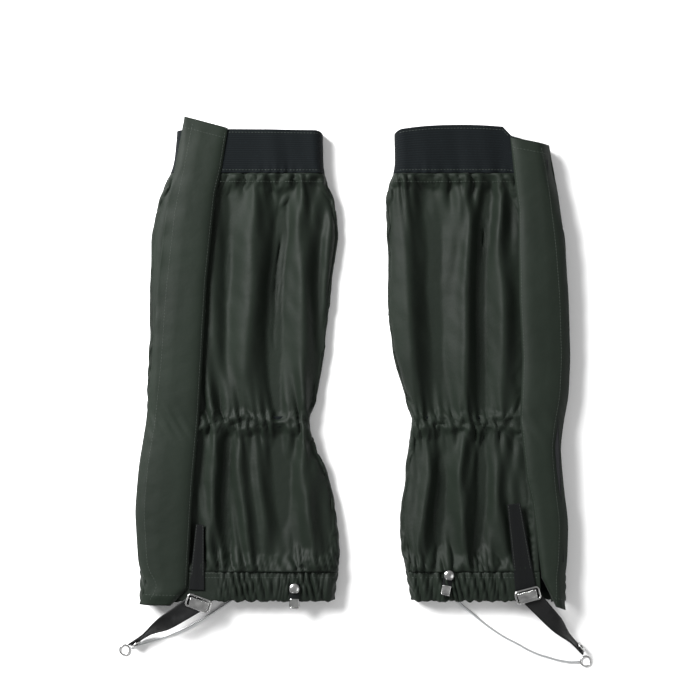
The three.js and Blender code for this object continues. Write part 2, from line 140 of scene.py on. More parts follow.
class Side:
    """The outline of one gaiter, read from its CAD nodes."""

    def __init__(self, name):
        self.name = name
        self.sign = FLAP_SIGN[name]
        rows = cad_rows(f"{name}_top_band", f"{name}_leg_panel", f"{name}_hem_casing")
        low, high = smooth_reader(rows, 1), smooth_reader(rows, 2)
        self.flap_x = high if self.sign > 0 else low
        self.front_x = low if self.sign > 0 else high
        self.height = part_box(f"{name}_leg_panel")[1].z
        self.top = rows[0, 0]
        self.leg_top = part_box(f"{name}_leg_panel")[1].y
        self.hem_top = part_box(f"{name}_hem_casing")[1].y
        self.bottom = rows[-1, 0]
        self.zip_line = self._line(f"{name}_zip_slides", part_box(f"{name}_zip_slider"))
        hinge = joint_of(f"{name}_flap_opens")
        self.hinge_pos, self.hinge_axis = Vector(hinge["pos_m"]), Vector(hinge["axis"])
        bow = np.array(SEAM_BOW[name]) * MM
        self.bow_y, self.bow = bow[::-1, 0] + PAIR_SHIFT.y, bow[::-1, 1]

    @staticmethod
    def _line(joint_name, box):
        joint = joint_of(joint_name)
        return (box[0] + box[1]) / 2, Vector(joint["axis"])

    def zip_x(self, y):
        point, axis = self.zip_line
        return point.x + (y - point.y) * axis.x / axis.y

    def hinge_x(self, y):
        return self.hinge_pos.x + (y - self.hinge_pos.y) * self.hinge_axis.x / self.hinge_axis.y

    def seam_x(self, y):
        return self.hinge_x(y) + np.interp(y, self.bow_y, self.bow)


GRIDS = {}      # grids of the fabric pieces, kept for the seams that follow them


# ---------------------------------------------------------------- mesh helpers
def link(obj):
    bpy.context.scene.collection.objects.link(obj)
    return obj


def grid_mesh(name, points, uv=None, closed=False):
    """Mesh object through a grid of points [row][column]; uv is in metres along the cloth."""
    points = np.asarray(points, dtype=float)
    rows, columns = points.shape[:2]
    index = np.arange(rows * columns).reshape(rows, columns)
    right = np.roll(index, -1, axis=1) if closed else index[:, 1:]
    left = index if closed else index[:, :-1]
    faces = np.stack([left[:-1], right[:-1], right[1:], left[1:]], axis=-1).reshape(-1, 4)
    mesh = bpy.data.meshes.new(name)
    mesh.from_pydata(points.reshape(-1, 3).tolist(), [], faces.tolist())
    if uv is not None:
        layer = mesh.uv_layers.new(name="cloth")
        loops = np.zeros(len(mesh.loops), dtype=np.int64)
        mesh.loops.foreach_get("vertex_index", loops)
        layer.data.foreach_set("uv", np.asarray(uv, dtype=float).reshape(-1, 2)[loops].ravel())
    mesh.shade_smooth()
    return link(bpy.data.objects.new(name, mesh))


def cloth_uv(points):
    """Arc lengths along rows and columns of a grid, as its uv."""
    points = np.asarray(points)
    across = np.linalg.norm(np.diff(points, axis=1), axis=2)
    along = np.linalg.norm(np.diff(points, axis=0), axis=2)
    u = np.concatenate([np.zeros((points.shape[0], 1)), np.cumsum(across, axis=1)], axis=1)
    v = np.concatenate([np.zeros((1, points.shape[1])), np.cumsum(along, axis=0)], axis=0)
    return np.stack([u, v.mean(axis=1, keepdims=True) + 0 * v], axis=-1)


def apply_modifiers(obj):
    """Turns an object with live modifiers into a plain mesh."""
    graph = bpy.context.evaluated_depsgraph_get()
    mesh = bpy.data.meshes.new_from_object(obj.evaluated_get(graph), depsgraph=graph)
    obj.modifiers.clear()
    obj.data = mesh
    return obj


def thicken(obj, wall, offset=0.0, levels=0):
    """Gives a sheet its wall, and rounds it with subdivision where levels is over 0."""
    solid = obj.modifiers.new("wall", "SOLIDIFY")
    solid.thickness = wall
    solid.offset = offset
    solid.use_rim = True
    if levels:
        rounder = obj.modifiers.new("round", "SUBSURF")
        rounder.levels = rounder.render_levels = levels
    return apply_modifiers(obj)


def wander(values, pitch, seed, spread=0.35):
    """Irregular wave along values with about the given pitch, between -1 and 1."""
    values = np.asarray(values, dtype=float)
    wobble = np.array([noise.noise(Vector((v / (3.1 * pitch), seed, 0.3))) for v in values.ravel()])
    lift = np.array([noise.noise(Vector((v / (2.2 * pitch), seed + 7.7, 1.9))) for v in values.ravel()])
    phase = 2 * math.pi * values.ravel() / pitch + 2 * math.pi * spread * 3.0 * wobble
    return (np.sin(phase) * (0.75 + 0.9 * lift)).reshape(values.shape)


def field(x, y, scale, seed):
    """Soft random field over a grid of x and y, between about -1 and 1."""
    flat = [noise.noise(Vector((a / scale, b / scale, seed))) for a, b in zip(np.ravel(x), np.ravel(y))]
    return np.array(flat).reshape(np.shape(x)) * 1.6


def finish(obj, look, body, node):
    """Gives a piece its material and slot, the body it rides and the node it stands for."""
    dress(obj, look)
    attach(obj, body)
    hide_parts(node)
    return obj


# ---------------------------------------------------------------- the leg tube
def tube_section(side, y, count, inset=0.0, gap=4.6 * MM):
    """Points round the flattened tube at one y, from the zip's outer edge round the back to its inner edge."""
    low, high = inset, side.height - inset
    reach = side.height / 2
    radius = reach - inset
    flap, front, zipped = side.flap_x(y), side.front_x(y), side.zip_x(y)
    s = side.sign
    straight = [abs(flap - s * reach - (zipped + s * gap)), abs((flap - front)) - 2 * reach,
                abs(zipped - s * gap - (front + s * reach))]
    arc = math.pi * radius
    ends = np.cumsum([0, straight[0], arc, straight[1], arc, straight[2]])
    at = np.linspace(0, ends[-1], count)
    turn = (at - ends[1]) / radius
    back = (at - ends[3]) / radius
    conditions = [at < ends[1], at < ends[2], at < ends[3], at < ends[4], at >= ends[4]]
    x = np.select(conditions, [zipped + s * (gap + at), flap - s * reach + s * radius * np.sin(turn),
                               flap - s * reach - s * (at - ends[2]),
                               front + s * reach - s * radius * np.sin(back),
                               front + s * reach + s * (at - ends[4])])
    z = np.select(conditions, [0 * at + high, reach + radius * np.cos(turn), 0 * at + low,
                               reach - radius * np.cos(back), 0 * at + high])
    return np.stack([x, np.full(count, y), z], axis=-1)


def fold_lift(side, x, y):
    """Height that the long folds add to the front layer."""
    lift = np.zeros_like(x)
    spans = ((UPPER_FOLDS[side.name], side.leg_top, ANKLE_Y), (LOWER_FOLDS[side.name], ANKLE_Y, side.hem_top))
    for folds, top, foot in spans:
        t = np.clip((top - y) / (top - foot), 0, 1)
        inside = (y <= top) & (y > foot)
        envelope = np.sin(math.pi * t) ** 0.6 * inside
        for number, (x_top, x_foot, half, height) in enumerate(folds):
            middle = (x_top + (x_foot - x_top) * t) * MM + 3.0 * MM * np.sin(5.0 * t + number * 2.1)
            lift += fabric().fold_scale * envelope * height * MM * np.exp(-((x - middle) / (half * MM)) ** 2)
    return lift


def gather_lift(side, x, y, seed):
    """Height that the gathers at the band, the ankle and the hem add."""
    lift = np.zeros_like(x)
    gathers = ((side.leg_top, GATHER_PITCH["band"], 20 * MM, 3.6 * MM, 5.5 * MM),
               (ANKLE_Y, GATHER_PITCH["ankle"], 13 * MM, 3.6 * MM, 5.0 * MM),
               (side.hem_top, GATHER_PITCH["hem"], 16 * MM, 3.2 * MM, 4.0 * MM))
    for line, pitch, reach, height, long_height in gathers:
        away = np.abs(y - line)
        rise = 1 - np.exp(-away / (2.2 * MM)) * 0.65
        wave = wander(x + 0.12 * (y - line), pitch, seed + line * 31.0)
        lift += height * wave * np.exp(-away / reach) * rise
        # Every few gathers run on into one long fold that leans as it fades.
        lean = np.where(y > line, 0.16, -0.2)
        above, below = (wander(x + lean * (y - line), 2.6 * pitch, seed + offset + line * 17.0, 0.6)
                        for offset in (3.1, 7.4))
        long_wave = np.where(y > line, above, below)
        fade = np.exp(-away / (2.6 * reach)) * (1 - np.exp(-away / (7 * MM)))
        lift += long_height * long_wave * fade
    return lift * fabric().gather_scale


def leg_points(side, rows=190, columns=190):
    ys = np.linspace(side.leg_top, side.hem_top - 0.3 * MM, rows)
    points = np.array([tube_section(side, y, columns, fabric().wall / 2) for y in ys])
    x, y, z = points[..., 0], points[..., 1], points[..., 2]
    reach = side.height / 2
    upper = np.clip((z - reach * 1.05) / (reach * 0.9), 0, 1)
    to_zip = np.abs(x - side.zip_x(y))
    beside_zip = np.clip((to_zip - 7 * MM) / (16 * MM), 0, 1)
    front = np.where((x - side.zip_x(y)) * side.sign < 0, 1.0, 0.35)
    flap_seam = np.clip(np.abs(x - side.seam_x(y)) / (9 * MM), 0.25, 1)
    weight = upper * beside_zip * front * flap_seam
    lift = fold_lift(side, x, y) + gather_lift(side, x, y, 3.0 if side.name == "left" else 11.0)
    lift += 1.8 * MM * field(x, y * 0.3, 30 * MM, 2.0) + 0.5 * MM * field(x + 0.4 * y, y * 0.5, 11 * MM, 5.0)
    points[..., 2] += lift * weight
    groove = np.exp(-((y - ANKLE_Y) / (4.5 * MM)) ** 2)
    points[..., 2] -= 1.6 * MM * groove * upper * beside_zip
    rim = (1 - np.abs(z - reach) / reach).clip(0, 1)
    side_wave = (wander(y, 43 * MM, 21.0) + 0.5 * wander(y, 19 * MM, 5.0)) * 0.5 * MM * rim
    points[..., 0] += side_wave * np.sign(x - (side.flap_x(y) + side.front_x(y)) / 2)
    return points


def settle(obj, side, frames=26, most=5.0 * MM, growth=0.055):
    """Lets the cloth buckle between its seams, then keeps each point within a short way of its start."""
    mesh = obj.data
    start = np.array([v.co for v in mesh.vertices])
    x, y, z = start.T
    held = np.zeros(len(start))
    for line, reach in ((side.leg_top, 2 * MM), (ANKLE_Y, 1.6 * MM), (side.hem_top, 2 * MM)):
        held = np.maximum(held, (np.abs(y - line) < reach) * 1.0)
    held = np.maximum(held, np.abs(x - side.zip_x(y)) < 8 * MM)
    held = np.maximum(held, z < side.height * 0.45)
    group = obj.vertex_groups.new(name="sewn")
    group.add([int(i) for i in np.nonzero(held)[0]], 1.0, "REPLACE")
    cloth = obj.modifiers.new("cloth", "CLOTH")
    settings = cloth.settings
    settings.quality = 4
    settings.mass = 0.25
    settings.tension_stiffness = settings.compression_stiffness = 25
    settings.shear_stiffness = 8
    settings.bending_stiffness = 0.08
    settings.shrink_min = -growth
    settings.vertex_group_mass = "sewn"
    settings.effector_weights.gravity = 0.35
    cloth.collision_settings.use_collision = False
    scene = bpy.context.scene
    scene.frame_start, scene.frame_end = 1, frames
    cloth.point_cache.frame_start, cloth.point_cache.frame_end = 1, frames
    for number in range(1, frames + 1):
        scene.frame_set(number)
    apply_modifiers(obj)
    end = np.array([v.co for v in obj.data.vertices])
    move = end - start
    length = np.linalg.norm(move, axis=1, keepdims=True)
    move *= np.minimum(1, most / np.maximum(length, 1e-9)) * np.array([0.6, 0.6, 1.0])
    end = start + move
    end[:, 2] = np.maximum(end[:, 2], np.minimum(z, side.height * 0.5))
    obj.data.vertices.foreach_set("co", end.ravel())
    scene.frame_set(1)
    obj.vertex_groups.clear()


def fabric_sheet(name, points):
    return grid_mesh(name, points, cloth_uv(points))


def make_leg(side):
    points = leg_points(side)
    obj = fabric_sheet(f"{side.name}_leg_fabric", points)
    settle(obj, side)
    thicken(obj, fabric().wall)
    finish(obj, "coated_fabric", ROOT, f"{side.name}_leg_panel")
    perimeter = 2 * abs(side.flap_x(0) - side.front_x(0))
    GRIDS[side.name, "leg"] = points


def make_hem(side, rows=26, columns=420):
    """The folded hem casing: close gathers over its elastic, pinched along its upper stitch line."""
    ys = np.linspace(side.hem_top, side.bottom, rows)
    points = np.array([tube_section(side, y, columns, fabric().hem_wall / 2) for y in ys])
    x, y, z = points[..., 0], points[..., 1], points[..., 2]
    t = np.clip((side.hem_top - y) / (side.hem_top - side.bottom), 0, 1)
    reach = side.height / 2
    upper = np.clip((z - reach) / reach, 0, 1) * np.clip((np.abs(x - side.zip_x(y)) - 6 * MM) / (8 * MM), 0, 1)
    seed = 5.0 if side.name == "left" else 15.0
    wave = wander(x + 0.25 * (y - side.hem_top), GATHER_PITCH["hem"], seed, 0.5)
    fine = wander(x - 0.15 * y, GATHER_PITCH["hem"] * 0.55, seed + 3, 0.4)
    low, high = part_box(f"{side.name}_buckle_frame")
    upper *= np.clip((np.abs(x - (low.x + high.x) / 2) - 15 * MM) / (9 * MM), 0, 1)
    swell = np.sin(math.pi * t) ** 0.5
    points[..., 2] += upper * ((1.9 * wave + 0.7 * fine) * MM * (0.45 + 0.55 * swell)
                               + 2.2 * MM * swell - 1.8 * MM)
    ragged = wander(x, 13 * MM, seed + 9) * 0.9 * MM + wander(x, 6 * MM, seed + 4) * 0.4 * MM
    points[..., 1] += ragged * t ** 3
    rim = np.abs(z - reach) / reach
    points[..., 0] += side.sign * wander(y + z, 8 * MM, seed) * 0.8 * MM * (1 - rim)
    obj = fabric_sheet(f"{side.name}_hem_fabric", points)
    thicken(obj, fabric().hem_wall)
    finish(obj, "coated_fabric", ROOT, f"{side.name}_hem_casing")
    width = 2 * abs(side.flap_x(side.bottom) - side.front_x(side.bottom))
    GRIDS[side.name, "hem"] = points


def band_arch(side, x):
    """The right band lies with its upper edge arched; the left one lies nearly straight."""
    low, high = sorted((side.front_x(side.top), side.flap_x(side.top)))
    t = np.clip((x - low) / (high - low), 0, 1)
    height = 5.5 * MM if side.name == "right" else 1.2 * MM
    return height * np.sin(math.pi * t ** 0.8)


def make_band(side, rows=44, columns=260):
    ys = np.linspace(side.top, side.leg_top + 0.3 * MM, rows)
    points = np.array([tube_section(side, y, columns, fabric().hem_wall / 2) for y in ys])
    x, y, z = points[..., 0].copy(), points[..., 1].copy(), points[..., 2]
    t = (y - ys[-1]) / (ys[0] - ys[-1])
    reach = side.height / 2
    upper = np.clip((z - reach) / reach, 0, 1)
    points[..., 1] += band_arch(side, x) * t * upper
    corner = 7 * MM
    short = np.clip(corner - np.abs(x - side.front_x(y)), 0, corner)
    points[..., 1] -= (corner - np.sqrt(corner ** 2 - short ** 2)) * 0.8 * t ** 3
    if side.name == "right":
        slope = np.interp(x, BAND_SLOPE_X, BAND_SLOPE_DROP)
        points[..., 1] -= slope * t
    soft = wander(x, 46 * MM, 2.0) * 0.9 * MM + wander(x + 0.2 * y, 21 * MM, 9.0) * 0.35 * MM
    points[..., 2] += upper * soft * (1.1 - 0.6 * t)
    points[..., 2] += upper * 0.7 * MM * wander(x, GATHER_PITCH["band"], 3.0) * np.exp(-t / 0.12)
    edge = np.minimum(t, 1 - t)
    points[..., 2] -= upper * 0.5 * MM * np.exp(-edge / 0.04)
    obj = fabric_sheet(f"{side.name}_band_elastic", points)
    thicken(obj, fabric().hem_wall)
    finish(obj, "ribbed_elastic", ROOT, f"{side.name}_top_band")
    width = 2 * abs(side.flap_x(side.top) - side.front_x(side.top))
    GRIDS[side.name, "band"] = points


def flap_outline(side):
    """Free edge and foot corner of the flap, read from its CAD node."""
    rows = {}
    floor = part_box(f"{side.name}_storm_flap")[0].z
    for vertex in frame["nodes"][f"{side.name}_storm_flap"].data.vertices:
        if vertex.co.z < floor + 2.4 * MM:
            rows.setdefault(round(vertex.co.y, 5), []).append(vertex.co.x)
    pick = max if side.sign > 0 else min
    free = np.array([(y, pick(xs)) for y, xs in sorted(rows.items())
                     if side.sign * (pick(xs) - side.hinge_x(y)) > 18 * MM])
    return free


def flap_points(side, rows=230, columns=56):
    free = flap_outline(side)
    free_top, free_foot = free[-1, 0], free[0, 0]
    seam_top, foot_y, hinge_foot = (y * MM + PAIR_SHIFT.y for y in FLAP_ENDS[side.name][:3])
    foot_in = FLAP_ENDS[side.name][3] * MM
    read = smooth_reader(free[::-1], 1, 7 * MM)
    t = np.linspace(0, 1, rows)[:, None]
    u = np.linspace(0, 1, columns)[None, :]
    seam_y = seam_top + (foot_y - seam_top) * t
    free_y = free_top + (free_foot - free_top) * t
    below = np.clip((hinge_foot - seam_y) / (hinge_foot - foot_y), 0, 1)
    seam_x = side.seam_x(seam_y) + side.sign * foot_in * below
    free_x = read(free_y)
    x = seam_x + (free_x - seam_x) * u
    y = seam_y + (free_y - seam_y) * u
    fall = np.clip((u - 0.55) / 0.45, 0, 1)
    arch = 0.96 * (1 - np.exp(-u / 0.085)) - 0.42 * fall * fall * (3 - 2 * fall)
    ends = np.clip(np.minimum(t * FLAP_LENGTH / FLAP_TOP_FADE,
                              (1 - t) * FLAP_LENGTH / FLAP_FOOT_FADE), 0, 1)
    arch = arch * (0.5 + 0.5 * ends * ends * (3 - 2 * ends))
    reach = side.height / 2
    beyond = np.clip((side.sign * (x - side.flap_x(y)) + reach) / reach, 0, 1.15)
    z = side.height + 0.9 * MM + 4.5 * MM * arch - 6.0 * MM * beyond ** 2
    z = z + 0.7 * MM * field(x + 0.8 * y, 0.4 * y - 0.7 * x, 52 * MM,
                           3.0 + side.sign) * np.sin(math.pi * u) ** 0.4
    z = z + 0.25 * MM * field(x + y, y - x, 17 * MM, 6.0) * u * (1 - u) * 2
    bend = np.exp(-((y - ANKLE_Y) / (14 * MM)) ** 2)
    z = z - 1.1 * MM * bend * (1 - 0.4 * u) + 0.5 * MM * wander(x + 0.6 * y, 12 * MM, 4.0) * bend
    free_side = np.exp(-(1 - u) * np.abs(free_x - seam_x) / (9 * MM))
    z = z + 0.45 * MM * wander(y + 0 * x, 31 * MM, 8.0) * free_side
    return np.stack([x, y + 0 * x, z], axis=-1)


def bend_flap(side, obj):
    """Bakes obj's placement into its mesh; the level direction across the hinge, towards the flap side, is
    worked out but nothing uses it.
    """
    across = Vector((side.hinge_axis.y, -side.hinge_axis.x, 0))
    if across.x * side.sign < 0:
        across.negate()
    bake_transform(obj)


def make_flap(side):
    points = flap_points(side)
    obj = fabric_sheet(f"{side.name}_flap_fabric", points)
    thicken(obj, 1.1 * MM)
    dress(obj, "flap_fabric")
    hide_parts(f"{side.name}_storm_flap")
    bend_flap(side, obj)
    GRIDS[side.name, "flap"] = points


# ---------------------------------------------------------------- rows of small parts
def row_group():
    """Geometry nodes that set one rounded grain after another along every edge line."""
    group = bpy.data.node_groups.new("grain_row", "GeometryNodeTree")
    face = group.interface
    face.new_socket("Geometry", in_out="INPUT", socket_type="NodeSocketGeometry")
    for name, kind in (("Pitch", "Float"), ("Size", "Vector"), ("Spread", "Float"), ("Seed", "Int"),
                       ("Material", "Material")):
        face.new_socket(name, in_out="INPUT", socket_type=f"NodeSocket{kind}")
    face.new_socket("Geometry", in_out="OUTPUT", socket_type="NodeSocketGeometry")
    nodes, links = group.nodes, group.links
    source, sink = nodes.new("NodeGroupInput"), nodes.new("NodeGroupOutput")
    curve = nodes.new("GeometryNodeMeshToCurve")
    points = nodes.new("GeometryNodeCurveToPoints")
    points.mode = "LENGTH"
    along = nodes.new("FunctionNodeAlignRotationToVector")
    along.axis = "X"
    upright = nodes.new("FunctionNodeAlignRotationToVector")
    upright.axis, upright.pivot_axis = "Z", "X"
    upright.inputs["Vector"].default_value = (0, 0, 1)
    grain = nodes.new("GeometryNodeMeshUVSphere")
    grain.inputs["Segments"].default_value = 8
    grain.inputs["Rings"].default_value = 5
    grain.inputs["Radius"].default_value = 0.5
    place = nodes.new("GeometryNodeInstanceOnPoints")
    chance = nodes.new("FunctionNodeRandomValue")
    chance.data_type = "FLOAT"
    low = nodes.new("ShaderNodeMath")
    low.operation = "SUBTRACT"
    low.inputs[0].default_value = 1.0
    scale = nodes.new("ShaderNodeVectorMath")
    scale.operation = "SCALE"
    real = nodes.new("GeometryNodeRealizeInstances")
    smooth = nodes.new("GeometryNodeSetShadeSmooth")
    paint = nodes.new("GeometryNodeSetMaterial")
    for start, end in ((source.outputs["Geometry"], curve.inputs["Mesh"]),
                       (curve.outputs["Curve"], points.inputs["Curve"]),
                       (source.outputs["Pitch"], points.inputs["Length"]),
                       (points.outputs["Points"], place.inputs["Points"]),
                       (points.outputs["Tangent"], along.inputs["Vector"]),
                       (along.outputs["Rotation"], upright.inputs["Rotation"]),
                       (upright.outputs["Rotation"], place.inputs["Rotation"]),
                       (grain.outputs["Mesh"], place.inputs["Instance"]),
                       (source.outputs["Spread"], low.inputs[1]),
                       (low.outputs[0], chance.inputs[2]),
                       (source.outputs["Seed"], chance.inputs["Seed"]),
                       (source.outputs["Size"], scale.inputs[0]),
                       (chance.outputs[1], scale.inputs["Scale"]),
                       (scale.outputs[0], place.inputs["Scale"]),
                       (place.outputs["Instances"], real.inputs["Geometry"]),
                       (real.outputs["Geometry"], smooth.inputs["Geometry"]),
                       (smooth.outputs["Geometry"], paint.inputs["Geometry"]),
                       (source.outputs["Material"], paint.inputs["Material"]),
                       (paint.outputs["Geometry"], sink.inputs["Geometry"])):
        links.new(start, end)
    chance.inputs[3].default_value = 1.0
    return group


def grain_row(name, lines, pitch, size, spread, seed, look):
    """One mesh of grains set along polylines: stitches of a seam, or teeth of a zip."""
    points, edges = [], []
    for line in lines:
        start = len(points)
        points += [tuple(p) for p in line]
        edges += [(i, i + 1) for i in range(start, len(points) - 1)]
    mesh = bpy.data.meshes.new(name)
    mesh.from_pydata(points, edges, [])
    obj = link(bpy.data.objects.new(name, mesh))
    group = bpy.data.node_groups.get("grain_row") or row_group()
    rows = obj.modifiers.new("rows", "NODES")
    rows.node_group = group
    keys = {item.name: item.identifier for item in group.interface.items_tree if item.in_out == "INPUT"}
    for socket, value in (("Pitch", pitch), ("Size", size), ("Spread", spread), ("Seed", seed),
                          ("Material", material(look))):
        rows[keys[socket]] = value
    apply_modifiers(obj)
    return obj


def surface_line(points, rows, columns, lift=0.0):
    """Points of a grid at fractional rows and columns, lifted a little."""
    points = np.asarray(points)
    r = np.clip(rows, 0, points.shape[0] - 1.001)
    c = np.clip(columns, 0, points.shape[1] - 1.001)
    i, j = r.astype(int), c.astype(int)
    f, g = (r - i)[:, None], (c - j)[:, None]
    line = ((1 - f) * (1 - g) * points[i, j] + f * (1 - g) * points[i + 1, j]
            + (1 - f) * g * points[i, j + 1] + f * g * points[i + 1, j + 1])
    line[:, 2] += lift
    return line


# ---------------------------------------------------------------- elastics inside the fabric
def make_elastics(side):
    for node, inset in ELASTIC_INSET.items():
        make_elastic(side, node, inset)


def make_elastic(side, node, inset):
    low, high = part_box(f"{side.name}_{node}")
    points = np.array([tube_section(side, y, 150, inset, 7 * MM) for y in np.linspace(high.y, low.y, 8)])
    x, y = points[..., 0], points[..., 1]
    points[..., 2] += 0.25 * MM * wander(x, 9 * MM, 4.0)
    obj = fabric_sheet(f"{side.name}_{node}_strip", points)
    thicken(obj, 0.9 * MM)
    finish(obj, "ribbed_elastic", ROOT, f"{side.name}_{node}")


# ---------------------------------------------------------------- zip and closure
class ZipAxis:
    """Places things along the zip: distance from its top, and offset to the flap side."""

    def __init__(self, side):
        self.side = side

    def line(self, y0, y1, offset, z, count=120):
        ys = np.linspace(y0, y1, count)
        xs = self.side.zip_x(ys) + self.side.sign * offset
        return np.stack([xs, ys, np.full(count, z)], axis=-1)


def strip(name, axis, y0, y1, inner, outer, z, wall, columns=7, bumpy=0.0):
    offsets = np.linspace(inner, outer, columns)
    points = np.stack([axis.line(y0, y1, offset, z, 160) for offset in offsets], axis=1)
    if bumpy:
        points[..., 2] += bumpy * field(points[..., 0], points[..., 1], 12 * MM, 4.0)
    obj = fabric_sheet(name, points)
    return thicken(obj, wall)


def make_zip(side):
    axis = ZipAxis(side)
    for row, sign in (("front", 1), ("back", -1)):
        low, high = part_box(f"{side.name}_zip_tape_{row}")
        tape = strip(f"{side.name}_zip_tape_{row}_woven", axis, high.y - 1 * MM, low.y + 1 * MM,
                     sign * 0.9 * MM, sign * 7.6 * MM, (low.z + high.z) / 2, 0.6 * MM)
        finish(tape, "webbing", ROOT, f"{side.name}_zip_tape_{row}")
        low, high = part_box(f"{side.name}_zip_teeth_{row}")
        line = axis.line(high.y - 0.4 * MM, low.y + 0.4 * MM, sign * 1.9 * MM, (low.z + high.z) / 2)
        teeth = grain_row(f"{side.name}_zip_teeth_{row}_row", [line], seams().tooth_pitch,
                          (1.25 * MM, 2.5 * MM, 1.7 * MM), 0.04, 3, "moulded_plastic")
        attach(teeth, ROOT)
        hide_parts(f"{side.name}_zip_teeth_{row}")
    for node, body in (("hook_tape", ROOT), ("loop_tape", f"{side.name}_flap")):
        low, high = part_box(f"{side.name}_{node}")
        tape = strip(f"{side.name}_{node}_pile", axis, high.y - 1 * MM, low.y + 1 * MM, 7.4 * MM, 17.6 * MM,
                     (low.z + high.z) / 2, 0.7 * MM, 12, 0.06 * MM)
        finish(tape, "closure_pile", body, f"{side.name}_{node}")


# ---------------------------------------------------------------- small hardware
def rounded(obj, radius, segments=2):
    bevel = obj.modifiers.new("edge", "BEVEL")
    bevel.width, bevel.segments, bevel.limit_method = radius, segments, "ANGLE"
    apply_modifiers(obj)
    obj.data.shade_smooth()
    return obj


def cad_copy(node, name, radius=0.25 * MM, segments=2):
    """The CAD solid with its edges rounded, as a piece of its own."""
    source = frame["nodes"][node]
    obj = link(bpy.data.objects.new(name, source.data.copy()))
    obj.data.transform(source.matrix_world)
    obj.parent = None
    weld = obj.modifiers.new("weld", "WELD")
    weld.merge_threshold = 0.02 * MM
    return rounded(obj, radius, segments)


def hardware(side, node, body, look, radius=0.25 * MM):
    obj = cad_copy(f"{side.name}_{node}", f"{side.name}_{node}_detail", radius)
    return finish(obj, look, body, f"{side.name}_{node}")


def clean(obj, merge=True):
    """Merges doubled points, or closes open ends, and turns the faces outwards."""
    mesh = bmesh.new()
    mesh.from_mesh(obj.data)
    if merge:
        bmesh.ops.remove_doubles(mesh, verts=mesh.verts, dist=0.001 * MM)
    else:
        bmesh.ops.holes_fill(mesh, edges=[e for e in mesh.edges if e.is_boundary])
    bmesh.ops.recalc_face_normals(mesh, faces=mesh.faces)
    mesh.to_mesh(obj.data)
    mesh.free()
    obj.data.shade_smooth()
    return obj


def tube_path(name, path, radius, sides=10, closed=False):
    """Round tube through points, with the arc length along it in its uv."""
    path = np.asarray(path, dtype=float)
    count = len(path)
    ahead = np.roll(path, -1, axis=0) - np.roll(path, 1, axis=0)
    if not closed:
        ahead[0], ahead[-1] = path[1] - path[0], path[-1] - path[-2]
    ahead /= np.linalg.norm(ahead, axis=1, keepdims=True)
    level = np.cross(ahead, [0, 0, 1.0])
    weak = np.linalg.norm(level, axis=1) < 0.2
    level[weak] = np.cross(ahead[weak], [0, 1.0, 0])
    level /= np.linalg.norm(level, axis=1, keepdims=True)
    up = np.cross(level, ahead)
    angles = np.linspace(0, 2 * math.pi, sides, endpoint=False)
    ring = (np.cos(angles)[None, :, None] * level[:, None]
            + np.sin(angles)[None, :, None] * up[:, None]) * radius
    points = path[:, None] + ring
    run = np.concatenate([[0], np.cumsum(np.linalg.norm(np.diff(path, axis=0), axis=1))])
    uv = np.stack([np.repeat(angles[None] * radius, count, axis=0), np.repeat(run[:, None], sides, axis=1)], -1)
    if closed:
        points = np.concatenate([points, points[:1]])
        uv = np.concatenate([uv, uv[:1]])
    obj = grid_mesh(name, points, uv, closed=True)
    return clean(obj, closed)


def revolve(name, profile, steps=40, closed=False):
    """Body of revolution about Z from (radius, height) points."""
    angles = np.linspace(0, 2 * math.pi, steps, endpoint=False)
    profile = list(profile) + ([profile[0]] if closed else [])
    points = np.array([[(r * math.cos(a), r * math.sin(a), h) for a in angles] for r, h in profile])
    obj = grid_mesh(name, points, cloth_uv(points), closed=True)
    return clean(obj)


def put(obj, matrix):
    """Moves a piece's mesh, so that its object stays at the origin."""
    obj.data.transform(matrix)
    obj.data.update()
    return obj


def make_slider(side):
    body = f"{side.name}_slider"
    hardware(side, "zip_slider", body, "plated_steel", 0.5 * MM)
    hardware(side, "zip_pull", body, "plated_steel", 0.3 * MM)
    hardware(side, "zip_box", ROOT, "moulded_plastic", 0.4 * MM)


def turned(side):
    """Direction the foot strap leaves the buckle in, and the level one across it."""
    axis = Vector(joint_of(f"{side.name}_cam_lifts")["axis"])
    out = Vector((axis.y, -axis.x, 0)) if axis.x < 0 else Vector((-axis.y, axis.x, 0))
    if out.y > 0:
        out.negate()
    return out.normalized(), axis.normalized()


def make_buckle(side):
    """Wire frame bent from round rod, and the toothed cam that bites the strap."""
    out, across = turned(side)
    node = f"{side.name}_buckle_frame"
    world = node_points(node)
    middle = Vector(world.mean(axis=0))
    along = (world - np.array(middle)) @ np.array(out)
    aside = (world - np.array(middle)) @ np.array(across)
    half_l, half_w = along.max() - BUCKLE_WIRE, aside.max() - BUCKLE_WIRE
    corner, path = 2.4 * MM, []
    for sx, sy, start in ((1, 1, 0), (-1, 1, 90), (-1, -1, 180), (1, -1, 270)):
        for step in range(7):
            angle = math.radians(start + 15 * step)
            path.append((sx * (half_l - corner) + corner * math.cos(angle),
                         sy * (half_w - corner) + corner * math.sin(angle)))
    dense = []
    for (x0, y0), (x1, y1) in zip(path, path[1:] + path[:1]):
        pieces = max(1, int(math.hypot(x1 - x0, y1 - y0) / (1.2 * MM)))
        dense += [(x0 + (x1 - x0) * k / pieces, y0 + (y1 - y0) * k / pieces) for k in range(pieces)]
    points = [middle + out * x + across * y for x, y in dense]
    wire = tube_path(f"{side.name}_buckle_wire", points, BUCKLE_WIRE, 12, closed=True)
    finish(wire, "plated_steel", ROOT, node)
    make_cam(side, out, across)


